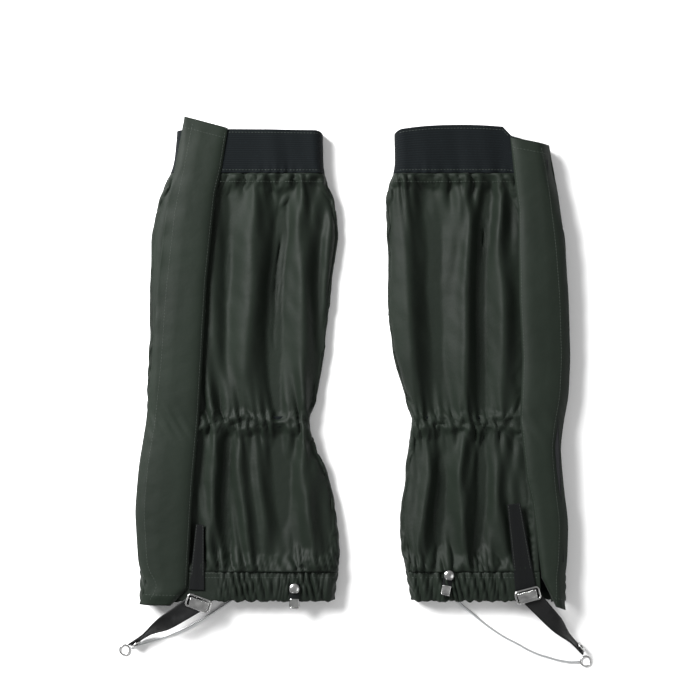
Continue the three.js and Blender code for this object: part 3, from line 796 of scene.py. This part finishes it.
def make_cam(side, out, across):
    node = f"{side.name}_buckle_cam"
    world = node_points(node)
    middle = Vector(((world.max(axis=0) + world.min(axis=0)) / 2))
    along = (world - np.array(middle)) @ np.array(out)
    aside = (world - np.array(middle)) @ np.array(across)
    length, width = along.max() - along.min(), aside.max() - aside.min()
    start = middle + out * float((along.max() + along.min()) / 2)
    rows, columns = 22, 46
    u = np.linspace(-0.5, 0.5, columns)[None, :]
    v = np.linspace(-0.5, 0.5, rows)[:, None]
    teeth = np.where(v < -0.3, 0.35 * MM * np.sign(np.sin(u * 2 * math.pi * 9)), 0)
    x = v * length + teeth
    y = u * width * (1 - 0.13 * np.clip(v + 0.5, 0, 1) ** 2)
    z = 0.35 * MM * np.cos(math.pi * v) - 0.25 * MM * np.exp(-((v - 0.32) / 0.06) ** 2)
    base = np.array(start)
    points = base + x[..., None] * np.array(out) + (y + 0 * x)[..., None] * np.array(across)
    points[..., 2] += z + 0 * x
    obj = grid_mesh(f"{side.name}_cam_plate", points, cloth_uv(points))
    thicken(obj, 0.9 * MM)
    finish(obj, "plated_steel", f"{side.name}_cam", node)


def make_webbing(side):
    """Wedge of webbing sewn to the leg that carries the buckle."""
    node = f"{side.name}_buckle_webbing"
    world = node_points(node)
    top = world[:, 2] > world[:, 2].mean()
    corners = np.unique(np.round(world[top], 6), axis=0)
    upper = corners[np.argsort(-corners[:, 1])][:2]
    lower = corners[np.argsort(-corners[:, 1])][-2:]
    upper, lower = upper[np.argsort(upper[:, 0])], lower[np.argsort(lower[:, 0])]
    z = (world[:, 2].max() + world[:, 2].min()) / 2
    rows, columns = 70, 26
    t = np.linspace(0, 1, rows)[:, None, None]
    u = np.linspace(0, 1, columns)[None, :, None]
    left = upper[0] * (1 - t) + lower[0] * t
    right = upper[1] * (1 - t) + lower[1] * t
    points = left * (1 - u) + right * u
    points[..., 2] = z + 0.12 * MM * np.sin(math.pi * u[..., 0] * 2)
    obj = fabric_sheet(f"{side.name}_webbing_wedge", points)
    thicken(obj, 1.0 * MM)
    finish(obj, "webbing", ROOT, node)
    edge = [surface_line(points, np.linspace(2, rows - 18, 60), np.full(60, c), 0.55 * MM)
            for c in (2.2, columns - 3.2)]
    stitches = grain_row(f"{side.name}_webbing_stitches", edge, 2.6 * MM,
                         (2.1 * MM, STITCH_WIDTH, 0.35 * MM), 0.1, 6, "dark_thread")
    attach(stitches, ROOT)


def strap_axis(side):
    """Rows of the foot strap from its CAD node: middle, broad direction, width, from the buckle out."""
    world = node_points(f"{side.name}_foot_strap")
    unique = np.unique(np.round(world, 6), axis=0)
    joint = Vector(joint_of(f"{side.name}_strap_adjusts")["axis"])
    run = unique @ np.array(joint)
    order = np.argsort(run)
    unique, run = unique[order], run[order]
    groups, start = [], 0
    for i in range(1, len(run) + 1):
        if i == len(run) or run[i] - run[start] > 2.0 * MM:
            groups.append(unique[start:i])
            start = i
    rows = []
    for group in groups:
        middle = group.mean(axis=0)
        spread = group - middle
        _, _, axes = np.linalg.svd(spread, full_matrices=False)
        broad = axes[0]
        width = 2 * np.abs(spread @ broad).max()
        rows.append((middle, broad, width))
    return rows, np.array(joint)


def make_strap(side):
    """Rubberised foot strap: it lies flat at the buckle, then turns on its edge and runs to the eyelet."""
    rows, joint = strap_axis(side)
    middles = np.array([r[0] for r in rows])
    broads = np.array([r[1] for r in rows])
    for i in range(len(broads)):
        if broads[i] @ (broads[i - 1] if i else np.cross(joint, [0, 0, 1])) < 0:
            broads[i] *= -1
    widths = np.array([min(r[2], 18 * MM) for r in rows])
    fine = 150
    at = np.linspace(0, len(rows) - 1, fine)
    pick = lambda values: np.stack([np.interp(at, range(len(rows)), values[:, k]) for k in range(3)], axis=-1)
    middle, broad = pick(middles), pick(broads)
    broad /= np.linalg.norm(broad, axis=1, keepdims=True)
    width = np.interp(at, range(len(rows)), widths)
    ahead = np.gradient(middle, axis=0)
    ahead /= np.linalg.norm(ahead, axis=1, keepdims=True)
    broad -= ahead * (broad * ahead).sum(axis=1, keepdims=True)
    broad /= np.linalg.norm(broad, axis=1, keepdims=True)
    u = np.linspace(-0.5, 0.5, 15)
    points = middle[:, None] + broad[:, None] * (u[None, :, None] * width[:, None, None])
    normal = np.cross(ahead, broad)
    points += normal[:, None] * (0.25 * MM * np.cos(u * math.pi * 2))[None, :, None]
    obj = fabric_sheet(f"{side.name}_strap_rubber", points)
    thicken(obj, 1.5 * MM)
    finish(obj, "strap_rubber", f"{side.name}_strap", f"{side.name}_foot_strap")


def make_eyelet(side):
    """Rolled eyelet through the strap's end."""
    node = f"{side.name}_strap_eyelet"
    world = node_points(node)
    middle = world.mean(axis=0)
    spread = world - middle
    _, _, axes = np.linalg.svd(spread, full_matrices=False)
    normal = Vector(axes[2])
    if (spread @ axes[2]).max() < -(spread @ axes[2]).min():
        normal.negate()
    radius = np.abs(spread @ axes[0]).max()
    height = np.ptp(spread @ axes[2])
    inner = radius * 0.42
    profile = []
    for k in range(13):
        angle = math.pi * k / 12
        profile.append(((radius + inner) / 2 + (radius - inner) / 2 * math.cos(angle),
                        0.8 * height * math.sin(angle)))
    profile.append((inner, -0.2 * MM))
    obj = revolve(f"{side.name}_eyelet_rolled", profile, 44, closed=True)
    base = Vector(middle) - normal * (height * 0.45)
    put(obj, Matrix.Translation(base) @ Vector((0, 0, 1)).rotation_difference(normal).to_matrix().to_4x4())
    finish(obj, "plated_steel", f"{side.name}_strap", node)


def ring_path(middle, radius, tilt=0.0, count=64):
    angles = np.linspace(0, 2 * math.pi, count, endpoint=False)
    return [Vector((middle[0] + radius * math.cos(a), middle[1] + radius * math.sin(a),
                    middle[2] + tilt * math.sin(a))) for a in angles]


def make_ring(side):
    node = f"{side.name}_strap_ring"
    low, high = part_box(node)
    middle = (low + high) / 2
    radius = (high.x - low.x) / 2 - RING_WIRE
    obj = tube_path(f"{side.name}_ring_wire", ring_path(middle, radius), RING_WIRE, 12, closed=True)
    finish(obj, "plated_steel", f"{side.name}_strap", node)


CABLES = {
    "left": ((-98, -214, 4.6), (-101.5, -221, 4.3), (-106.5, -228.7, 3.2), (-114, -234.6, 2.2),
             (-123.2, -240.8, 1.6), (-131.5, -246, 1.2), (-139.8, -250.9, 1.1), (-148, -255.3, 1.1),
             (-156.5, -259.3, 1.1), (-168, -264, 1.1), (-180.6, -268.5, 1.1), (-192, -271.9, 1.2),
             (-203.2, -275.3, 1.3)),
    "right": ((92, -214, 4.6), (93.6, -221, 4.3), (96.3, -227.8, 3.2), (103.5, -236, 2), (113, -243.5, 1.4),
              (123, -252, 1.1), (134.3, -260.2, 1.1), (144.5, -266.5, 1.1), (155.6, -272.2, 1.1),
              (164.5, -277.3, 1.1), (174.1, -281.5, 1.1), (183.3, -284.3, 1.1), (191, -286.6, 1.1),
              (198.2, -288, 1.1), (205, -288.7, 1.3), (212.4, -288.5, 1.3)),
}


def smooth_path(points, step):
    """Catmull-Rom curve through points, at about one point every step."""
    points = [Vector(p) for p in points]
    points = [2 * points[0] - points[1]] + points + [2 * points[-1] - points[-2]]
    path = []
    for a, b, c, d in zip(points, points[1:], points[2:], points[3:]):
        count = max(2, int((c - b).length / step))
        for k in range(count):
            t = k / count
            path.append(0.5 * (2 * b + (c - a) * t + (2 * a - 5 * b + 4 * c - d) * t * t
                               + (3 * b - a - 3 * c + d) * t ** 3))
    return path + [points[-2]]


def make_cable(side):
    """Steel cable from the ferrule inside the hem to the strap's ring."""
    path = smooth_path([Vector(p) * MM + PAIR_SHIFT for p in CABLES[side.name]], 1.2 * MM)
    obj = tube_path(f"{side.name}_cable_strand", path, 1.0 * MM, 12)
    dress(obj, "cable_steel")
    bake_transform(obj)
    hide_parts(f"{side.name}_foot_cable")


def make_anchor(side):
    hardware(side, "anchor_ferrule", ROOT, "plated_steel", 0.3 * MM)
    hardware(side, "anchor_tab", ROOT, "webbing", 0.12 * MM)
    hardware(side, "anchor_rivet", ROOT, "plated_steel", 0.3 * MM)


def make_hook(side):
    """Front lace hook: webbing tab, domed rivet cap and the bent sheet-metal hook."""
    body = f"{side.name}_hook"
    low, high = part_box(f"{side.name}_hook_rivet")
    middle = (low + high) / 2
    radius, height = (high.x - low.x) / 2, high.z - low.z
    profile = [(0, 0), (radius * 0.96, 0), (radius, height * 0.14), (radius * 0.97, height * 0.32),
               (radius * 0.86, height * 0.58), (radius * 0.66, height * 0.8), (radius * 0.4, height * 0.94),
               (radius * 0.16, height), (0, height)]
    cap = revolve(f"{side.name}_rivet_cap", profile, 48)
    put(cap, Matrix.Translation((middle.x, middle.y, low.z)))
    finish(cap, "plated_steel", ROOT, f"{side.name}_hook_rivet")
    hardware(side, "hook_tab", body, "webbing", 0.25 * MM)
    hardware(side, "lace_hook", body, "plated_steel", 0.35 * MM)


# ---------------------------------------------------------------- seams
def make_flap_seams(side, points):
    rows, columns = points.shape[:2]
    at = np.linspace(3, rows - 4, 400)
    width = np.linalg.norm(points[:, -1] - points[:, 0], axis=1)
    inside = lambda distance: np.interp(at, range(rows), (columns - 1) * (1 - distance / width))
    lines = [surface_line(points, at, np.full(400, 2.2), 0.62 * MM),
             surface_line(points, at, inside(8.5 * MM), 0.62 * MM)]
    ends = np.linspace(4, columns - 5, 60)
    lines.append(surface_line(points, np.full(60, 5.0), ends, 0.62 * MM))
    lines.append(surface_line(points, np.full(60, rows - 6.0), ends, 0.62 * MM))
    stitches = grain_row(f"{side.name}_flap_stitches", lines, seams().stitch_pitch,
                         (seams().stitch_length, STITCH_WIDTH, 0.35 * MM), 0.12,
                         2, "sewing_thread")
    bend_flap(side, stitches)


def make_body_seams(side, leg, hem, band):
    """Stitch rows near both edges of the band, two along the hem's upper line and one on the leg just under the
    band, on the front layers.
    """
    lines = []
    for grid, row in ((band, band.shape[0] - 4.0), (band, 3.0), (hem, 1.5), (hem, 5.0), (leg, 4.0)):
        columns = np.linspace(0, grid.shape[1] - 1.01, 600)
        line = surface_line(grid, np.full(600, row), columns, 0.0)
        top = (line[:, 2] > side.height * 0.8) & (np.abs(line[:, 0] - side.zip_x(line[:, 1])) > 8 * MM)
        outside = (line[:, 0] - side.seam_x(line[:, 1])) * side.sign < -2 * MM
        line[:, 2] += 0.75 * MM
        for piece in np.split(np.arange(600), np.nonzero(np.diff((top & outside).astype(int)))[0] + 1):
            if (top & outside)[piece[0]] and len(piece) > 12:
                lines.append(line[piece])
    stitches = grain_row(f"{side.name}_body_stitches", lines, seams().stitch_pitch,
                         (seams().stitch_length, STITCH_WIDTH, 0.4 * MM), 0.15,
                         4, "sewing_thread")
    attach(stitches, ROOT)


def make_seams(side):
    make_flap_seams(side, grid(side, "flap"))
    make_body_seams(side, grid(side, "leg"), grid(side, "hem"), grid(side, "band"))


# ---------------------------------------------------------------- materials
class Nodes:
    """Short way to write a material's nodes."""

    def __init__(self, name):
        self.material = bpy.data.materials.new(name)
        self.material.use_nodes = True
        self.tree = self.material.node_tree
        self.shader = self.tree.nodes["Principled BSDF"]

    def add(self, kind, settings=None, **inputs):
        node = self.tree.nodes.new(kind)
        for key, value in (settings or {}).items():
            setattr(node, key, value)
        for key, value in inputs.items():
            self.put(node, key.replace("_", " "), value)
        return node

    def put(self, node, socket, value):
        target = node.inputs[int(socket[1:])] if socket[0] == "#" else node.inputs[socket]
        if isinstance(value, bpy.types.NodeSocket):
            self.tree.links.new(value, target)
        else:
            target.default_value = value

    def math(self, operation, a, b=0.5):
        node = self.add("ShaderNodeMath", {"operation": operation})
        self.put(node, "#0", a)
        self.put(node, "#1", b)
        return node.outputs[0]

    def mix(self, factor, first, second):
        node = self.add("ShaderNodeMix", {"data_type": "RGBA"})
        self.put(node, "#0", factor)
        self.put(node, "#6", first)
        self.put(node, "#7", second)
        return node.outputs[2]

    def ramp(self, factor, low, high):
        node = self.add("ShaderNodeMapRange", Value=factor)
        node.inputs["From Min"].default_value = low
        node.inputs["From Max"].default_value = high
        return node.outputs[0]

    def noise(self, vector, scale, detail=3.0):
        node = self.add("ShaderNodeTexNoise", Scale=scale, Detail=detail)
        self.put(node, "Vector", vector)
        return node.outputs["Fac"]

    def wave(self, vector, scale, direction="X", distortion=0.0):
        node = self.add("ShaderNodeTexWave", {"bands_direction": direction}, Scale=scale, Distortion=distortion)
        self.put(node, "Vector", vector)
        return node.outputs["Fac"]

    def bump(self, height, strength, distance, under=None):
        node = self.add("ShaderNodeBump", Strength=strength, Distance=distance, Height=height)
        if under is not None:
            self.put(node, "Normal", under)
        return node.outputs[0]

    def finish(self, **inputs):
        for key, value in inputs.items():
            self.put(self.shader, key.replace("_", " "), value)
        return self.material


def cloth_vector(nodes):
    node = nodes.add("ShaderNodeUVMap", {"uv_map": "cloth"})
    return node.outputs[0]


def object_vector(nodes):
    return nodes.add("ShaderNodeTexCoord").outputs["Object"]


def shade(color, factor):
    return (color[0] * factor, color[1] * factor, color[2] * factor, 1)


def coated_fabric(name="coated_fabric", tone=1.0):
    """Plain-weave polyester with a proofed face: fine weave, soft sheen, faint creases."""
    nodes = Nodes(name)
    uv, place = cloth_vector(nodes), object_vector(nodes)
    warp = nodes.wave(uv, 340.0, "X")
    weft = nodes.wave(uv, 340.0, "Y")
    weave = nodes.math("MULTIPLY", warp, weft)
    blotch = nodes.ramp(nodes.noise(place, 14.0, 4.0), 0.35, 0.65)
    fleck = nodes.noise(uv, 900.0, 1.0)
    olive = [channel * tone for channel in fabric().color]
    base = nodes.mix(blotch, shade(olive, 0.84), shade(olive, 1.12))
    thread = nodes.mix(weave, shade(olive, 0.78), shade(olive, 1.15))
    worn = nodes.mix(nodes.math("MULTIPLY", fleck, 0.5), base, thread)
    crease = nodes.noise(place, 130.0, 5.0)
    under = nodes.bump(crease, 0.22, 1.2 * MM)
    normal = nodes.bump(weave, 0.35, 0.15 * MM, under)
    rough = nodes.math("ADD", nodes.math("MULTIPLY", blotch, 0.08), 0.56)
    return nodes.finish(Base_Color=worn, Roughness=rough, Normal=normal, Sheen_Weight=0.02,
                        Sheen_Roughness=0.45, Specular_IOR_Level=0.15)


def ribbed_elastic():
    """Woven elastic: fine ribs along its length, matt black with a blue cast."""
    nodes = Nodes("ribbed_elastic")
    uv, place = cloth_vector(nodes), object_vector(nodes)
    rib = nodes.wave(uv, 160.0, "Y")
    stitch = nodes.wave(uv, 260.0, "X")
    knit = nodes.math("MULTIPLY", rib, nodes.math("ADD", nodes.math("MULTIPLY", stitch, 0.4), 0.6))
    lint = nodes.ramp(nodes.noise(place, 420.0, 2.0), 0.62, 0.8)
    black = fabric().elastic_color
    base = nodes.mix(knit, shade(black, 0.7), shade(black, 1.35))
    color = nodes.mix(nodes.math("MULTIPLY", lint, 0.35), base, shade(black, 3.2))
    normal = nodes.bump(knit, 0.6, 0.35 * MM)
    return nodes.finish(Base_Color=color, Roughness=0.85, Normal=normal, Sheen_Weight=0.02,
                        Specular_IOR_Level=0.12)


def webbing(name="webbing", black=(0.0022, 0.0026, 0.0028)):
    """Woven tape: a fine herringbone across and along."""
    nodes = Nodes(name)
    place = object_vector(nodes)
    first = nodes.wave(place, 330.0, "DIAGONAL")
    second = nodes.wave(place, 290.0, "X")
    weave = nodes.math("MULTIPLY", first, second)
    fuzz = nodes.noise(place, 600.0, 2.0)
    base = nodes.mix(weave, shade(black, 0.7), shade(black, 1.7))
    color = nodes.mix(nodes.math("MULTIPLY", fuzz, 0.3), base, shade(black, 2.4))
    normal = nodes.bump(weave, 0.5, 0.25 * MM)
    return nodes.finish(Base_Color=color, Roughness=0.75, Normal=normal, Specular_IOR_Level=0.12)


def moulded_plastic():
    nodes = Nodes("moulded_plastic")
    place = object_vector(nodes)
    grain = nodes.noise(place, 1500.0, 3.0)
    color = nodes.mix(grain, (0.006, 0.006, 0.007, 1), (0.014, 0.014, 0.015, 1))
    normal = nodes.bump(grain, 0.2, 0.05 * MM)
    return nodes.finish(Base_Color=color, Roughness=0.42, Normal=normal)


def plated_steel():
    """Bright nickel plate with fine scratches, dulled a little in patches."""
    nodes = Nodes("plated_steel")
    place = object_vector(nodes)
    patch = nodes.ramp(nodes.noise(place, 160.0, 4.0), 0.3, 0.7)
    scratch = nodes.noise(place, 1900.0, 2.0)
    color = nodes.mix(patch, (0.34, 0.34, 0.34, 1), (0.52, 0.52, 0.51, 1))
    rough = nodes.math("ADD", nodes.math("MULTIPLY", patch, 0.10), 0.16)
    normal = nodes.bump(scratch, 0.08, 0.04 * MM)
    return nodes.finish(Base_Color=color, Metallic=1.0, Roughness=rough, Normal=normal)


def cable_steel():
    """Stranded cable: strands wind round it; its colour has painted shade in the grooves between strands and a
    painted highlight on their crowns.
    """
    nodes = Nodes("cable_steel")
    uv = cloth_vector(nodes)
    strands_and_groove_shade = nodes.wave(uv, 420.0, "DIAGONAL")
    # Painted shade in the grooves between strands and a painted highlight on their crowns, set by the strand
    # wave.
    color = nodes.mix(strands_and_groove_shade, (0.10, 0.10, 0.10, 1), (0.36, 0.36, 0.35, 1))
    normal = nodes.bump(strands_and_groove_shade, 0.7, 0.25 * MM)
    return nodes.finish(Base_Color=color, Metallic=1.0, Roughness=0.3, Normal=normal)


def closure_pile():
    """Hook and loop tape: a dense pile of fine tufts."""
    nodes = Nodes("closure_pile")
    place = object_vector(nodes)
    tufts = nodes.noise(place, 1400.0, 4.0)
    color = nodes.mix(tufts, (0.003, 0.003, 0.004, 1), (0.016, 0.017, 0.018, 1))
    normal = nodes.bump(tufts, 0.8, 0.5 * MM)
    return nodes.finish(Base_Color=color, Roughness=0.9, Normal=normal, Specular_IOR_Level=0.2)


def strap_rubber():
    """Rubber-coated strap: fine cross ribs, a satin face and scuffed patches."""
    nodes = Nodes("strap_rubber")
    uv, place = cloth_vector(nodes), object_vector(nodes)
    ribs = nodes.wave(uv, 190.0, "Y")
    scuff = nodes.ramp(nodes.noise(place, 240.0, 5.0), 0.5, 0.72)
    base = nodes.mix(ribs, (0.0018, 0.0019, 0.0020, 1), (0.0040, 0.0043, 0.0045, 1))
    color = nodes.mix(nodes.math("MULTIPLY", scuff, 0.4), base, (0.010, 0.0105, 0.011, 1))
    normal = nodes.bump(ribs, 0.4, 0.2 * MM)
    rough = nodes.math("ADD", nodes.math("MULTIPLY", scuff, 0.2), 0.5)
    return nodes.finish(Base_Color=color, Roughness=rough, Normal=normal, Specular_IOR_Level=0.2)


def sewing_thread(name="sewing_thread", tone=1.0):
    nodes = Nodes(name)
    place = object_vector(nodes)
    twist = nodes.wave(place, 900.0, "DIAGONAL")
    color = nodes.mix(twist, shade((0.012, 0.018, 0.013), tone), shade((0.030, 0.040, 0.031), tone))
    normal = nodes.bump(twist, 0.5, 0.1 * MM)
    return nodes.finish(Base_Color=color, Roughness=0.6, Normal=normal)


MATERIALS = {
    "coated_fabric": coated_fabric,
    "flap_fabric": lambda: coated_fabric("flap_fabric", 1.12),
    "ribbed_elastic": ribbed_elastic,
    "webbing": webbing,
    "moulded_plastic": moulded_plastic,
    "plated_steel": plated_steel,
    "cable_steel": cable_steel,
    "sewing_thread": sewing_thread,
    "dark_thread": lambda: sewing_thread("dark_thread", 0.6),
    "closure_pile": closure_pile,
    "strap_rubber": strap_rubber,
}


def material(name):
    return bpy.data.materials.get(name) or MATERIALS[name]()


def dress(obj, name):
    obj.data.materials.clear()
    obj.data.materials.append(material(name))
    return obj


# ---------------------------------------------------------------- stage
def make_stage():
    bpy.ops.mesh.primitive_plane_add(size=FLOOR_SIZE, location=(0, 0, FLOOR_Z))
    floor = bpy.context.object
    floor.name = "floor"
    floor.data.materials.append(floor_material())


def floor_material():
    material = bpy.data.materials.new("pale_floor")
    material.use_nodes = True
    shader = material.node_tree.nodes["Principled BSDF"]
    shader.inputs["Base Color"].default_value = (0.93, 0.93, 0.93, 1)
    shader.inputs["Roughness"].default_value = 0.9
    return material


def area_light(name, place, size, power):
    data = bpy.data.lights.new(name, "AREA")
    data.shape = "RECTANGLE"
    data.size, data.size_y = size
    data.energy = power
    lamp = link(bpy.data.objects.new(name, data))
    lamp.location = place
    lamp.rotation_euler = (Vector((0, 0, 0)) - Vector(place)).to_track_quat("-Z", "Y").to_euler()
    return lamp


def make_lights():
    area_light("key_light", (-1.1, 0.75, 1.05), (0.8, 0.8), staging().key_power)
    area_light("fill_light", (1.3, -0.6, 1.4), (1.2, 1.2), 8)
    world = bpy.data.worlds.new("studio")
    world.use_nodes = True
    world.node_tree.nodes["Background"].inputs[0].default_value = (1, 1, 1, 1)
    world.node_tree.nodes["Background"].inputs[1].default_value = staging().sky
    bpy.context.scene.world = world


def make_camera():
    bpy.context.scene.view_settings.view_transform = "Standard"
    data = bpy.data.cameras.new("camera")
    data.lens = 110
    data.sensor_width = 36
    camera = link(bpy.data.objects.new("camera", data))
    camera.location = (PAIR_SHIFT.x, PAIR_SHIFT.y, staging().view_width * data.lens / data.sensor_width)
    bpy.context.scene.camera = camera


# ---------------------------------------------------------------- settings and operators
class FabricSettings(bpy.types.PropertyGroup):
    fold_scale: bpy.props.FloatProperty(
        name="Fold height", description="Height of the long folds, against their own values", default=1.35,
        min=0.0, max=1.6)
    gather_scale: bpy.props.FloatProperty(
        name="Gather height", description="Height of the gathers at band, ankle and hem", default=1.0,
        min=0.0, max=1.5)
    wall: bpy.props.FloatProperty(
        name="Fabric wall", description="Thickness of the coated fabric with its lining", default=0.9 * MM,
        min=0.4 * MM, max=2 * MM, unit="LENGTH", subtype="DISTANCE")
    color: bpy.props.FloatVectorProperty(
        name="Fabric colour", description="Colour of the proofed fabric", size=3, subtype="COLOR",
        default=(0.0057, 0.0093, 0.0060), min=0.0, max=1.0)
    elastic_color: bpy.props.FloatVectorProperty(
        name="Elastic colour", description="Colour of the band and the inner elastics", size=3,
        subtype="COLOR", default=(0.0016, 0.0030, 0.0038), min=0.0, max=1.0)
    hem_wall: bpy.props.FloatProperty(
        name="Hem wall", description="Thickness of the folded hem and of the band", default=1.5 * MM,
        min=0.8 * MM, max=3 * MM, unit="LENGTH", subtype="DISTANCE")


class SeamSettings(bpy.types.PropertyGroup):
    stitch_pitch: bpy.props.FloatProperty(
        name="Stitch pitch", description="From one stitch to the next", default=2.9 * MM,
        min=1.5 * MM, max=6 * MM, unit="LENGTH", subtype="DISTANCE")
    stitch_length: bpy.props.FloatProperty(
        name="Stitch length", description="Visible length of a stitch", default=2.3 * MM,
        min=1 * MM, max=5 * MM, unit="LENGTH", subtype="DISTANCE")
    tooth_pitch: bpy.props.FloatProperty(
        name="Tooth pitch", description="From one zip tooth to the next", default=1.9 * MM,
        min=1 * MM, max=4 * MM, unit="LENGTH", subtype="DISTANCE")


class StageSettings(bpy.types.PropertyGroup):
    key_power: bpy.props.FloatProperty(
        name="Key light", description="Power of the light from the upper left", default=84.0,
        min=0.0, unit="POWER")
    sky: bpy.props.FloatProperty(
        name="Sky", description="Strength of the even light", default=0.42, min=0.0, max=3.0)
    view_width: bpy.props.FloatProperty(
        name="View width", description="Width that the camera sees at the floor", default=648.2 * MM,
        min=0.2, max=2.0, unit="LENGTH", subtype="DISTANCE")


def fabric():
    return bpy.context.scene.gaiter_fabric


def seams():
    return bpy.context.scene.gaiter_seams


def staging():
    return bpy.context.scene.gaiter_stage


def grid(side, piece):
    if (side.name, piece) not in GRIDS:
        raise RuntimeError(f"build the {piece} before its seams")
    return GRIDS[side.name, piece]


def build(*makers):
    """Runs the makers of a group on one side, then on the other."""
    for name in SIDES:
        side = Side(name)
        for maker in makers:
            maker(side)
    return {"FINISHED"}


class GAITERS_OT_legs(bpy.types.Operator):
    """Builds the gathered fabric tube of each leg."""
    bl_idname = "gaiters.legs"
    bl_label = "Leg fabric"

    def execute(self, context):
        return build(make_leg)


class GAITERS_OT_hems(bpy.types.Operator):
    """Builds the folded hem casings."""
    bl_idname = "gaiters.hems"
    bl_label = "Hem casings"

    def execute(self, context):
        return build(make_hem)


class GAITERS_OT_bands(bpy.types.Operator):
    """Builds the elastic bands at the calf."""
    bl_idname = "gaiters.bands"
    bl_label = "Elastic bands"

    def execute(self, context):
        return build(make_band)


class GAITERS_OT_flaps(bpy.types.Operator):
    """Builds the storm flaps over the zips."""
    bl_idname = "gaiters.flaps"
    bl_label = "Storm flaps"

    def execute(self, context):
        return build(make_flap)


class GAITERS_OT_elastics(bpy.types.Operator):
    """Builds the elastics sewn in at the ankle and the hem."""
    bl_idname = "gaiters.elastics"
    bl_label = "Inner elastics"

    def execute(self, context):
        return build(make_elastics)


class GAITERS_OT_zips(bpy.types.Operator):
    """Builds the zips, their sliders and the hook and loop tapes."""
    bl_idname = "gaiters.zips"
    bl_label = "Zips and closures"

    def execute(self, context):
        return build(make_zip, make_slider)


class GAITERS_OT_buckles(bpy.types.Operator):
    """Builds the webbing wedges, the buckle frames and their cams."""
    bl_idname = "gaiters.buckles"
    bl_label = "Buckles"

    def execute(self, context):
        return build(make_webbing, make_buckle)


class GAITERS_OT_straps(bpy.types.Operator):
    """Builds the foot straps with their eyelets and rings, and the cables."""
    bl_idname = "gaiters.straps"
    bl_label = "Foot straps and cables"

    def execute(self, context):
        return build(make_strap, make_eyelet, make_ring, make_cable, make_anchor)


class GAITERS_OT_hooks(bpy.types.Operator):
    """Builds the front lace hooks, their tabs and rivets."""
    bl_idname = "gaiters.hooks"
    bl_label = "Lace hooks"

    def execute(self, context):
        return build(make_hook)


class GAITERS_OT_seams(bpy.types.Operator):
    """Sets the stitches along the seams of fabric, band and hem."""
    bl_idname = "gaiters.seams"
    bl_label = "Seams"

    def execute(self, context):
        return build(make_seams)


class GAITERS_OT_stage(bpy.types.Operator):
    """Sets the floor, the lights and the camera."""
    bl_idname = "gaiters.stage"
    bl_label = "Stage"

    def execute(self, context):
        make_camera()
        make_stage()
        make_lights()
        return {"FINISHED"}


PIECES = (GAITERS_OT_legs, GAITERS_OT_hems, GAITERS_OT_bands, GAITERS_OT_flaps, GAITERS_OT_elastics,
          GAITERS_OT_zips, GAITERS_OT_buckles, GAITERS_OT_straps, GAITERS_OT_hooks, GAITERS_OT_seams,
          GAITERS_OT_stage)
GROUPS = (("gaiter_fabric", FabricSettings), ("gaiter_seams", SeamSettings), ("gaiter_stage", StageSettings))


class GAITERS_PT_panel(bpy.types.Panel):
    """Sizes and build steps of the gaiters."""
    bl_label = "Gaiters"
    bl_idname = "GAITERS_PT_panel"
    bl_space_type = "VIEW_3D"
    bl_region_type = "UI"
    bl_category = "Gaiters"

    def draw(self, context):
        for name, group in GROUPS:
            box = self.layout.box()
            for prop in group.__annotations__:
                box.prop(getattr(context.scene, name), prop)
        for operator in PIECES:
            self.layout.operator(operator.bl_idname)


def register():
    for name, group in GROUPS:
        bpy.utils.register_class(group)
        setattr(bpy.types.Scene, name, bpy.props.PointerProperty(type=group))
    for cls in (*PIECES, GAITERS_PT_panel):
        bpy.utils.register_class(cls)


def unregister():
    for cls in (GAITERS_PT_panel, *reversed(PIECES)):
        bpy.utils.unregister_class(cls)
    for name, group in reversed(GROUPS):
        delattr(bpy.types.Scene, name)
        bpy.utils.unregister_class(group)


def main():
    register()
    bpy.ops.gaiters.stage()
    bpy.ops.gaiters.legs()
    bpy.ops.gaiters.hems()
    bpy.ops.gaiters.bands()
    bpy.ops.gaiters.flaps()
    bpy.ops.gaiters.elastics()
    bpy.ops.gaiters.zips()
    bpy.ops.gaiters.buckles()
    bpy.ops.gaiters.straps()
    bpy.ops.gaiters.hooks()
    bpy.ops.gaiters.seams()


if __name__ == "__main__":
    main()
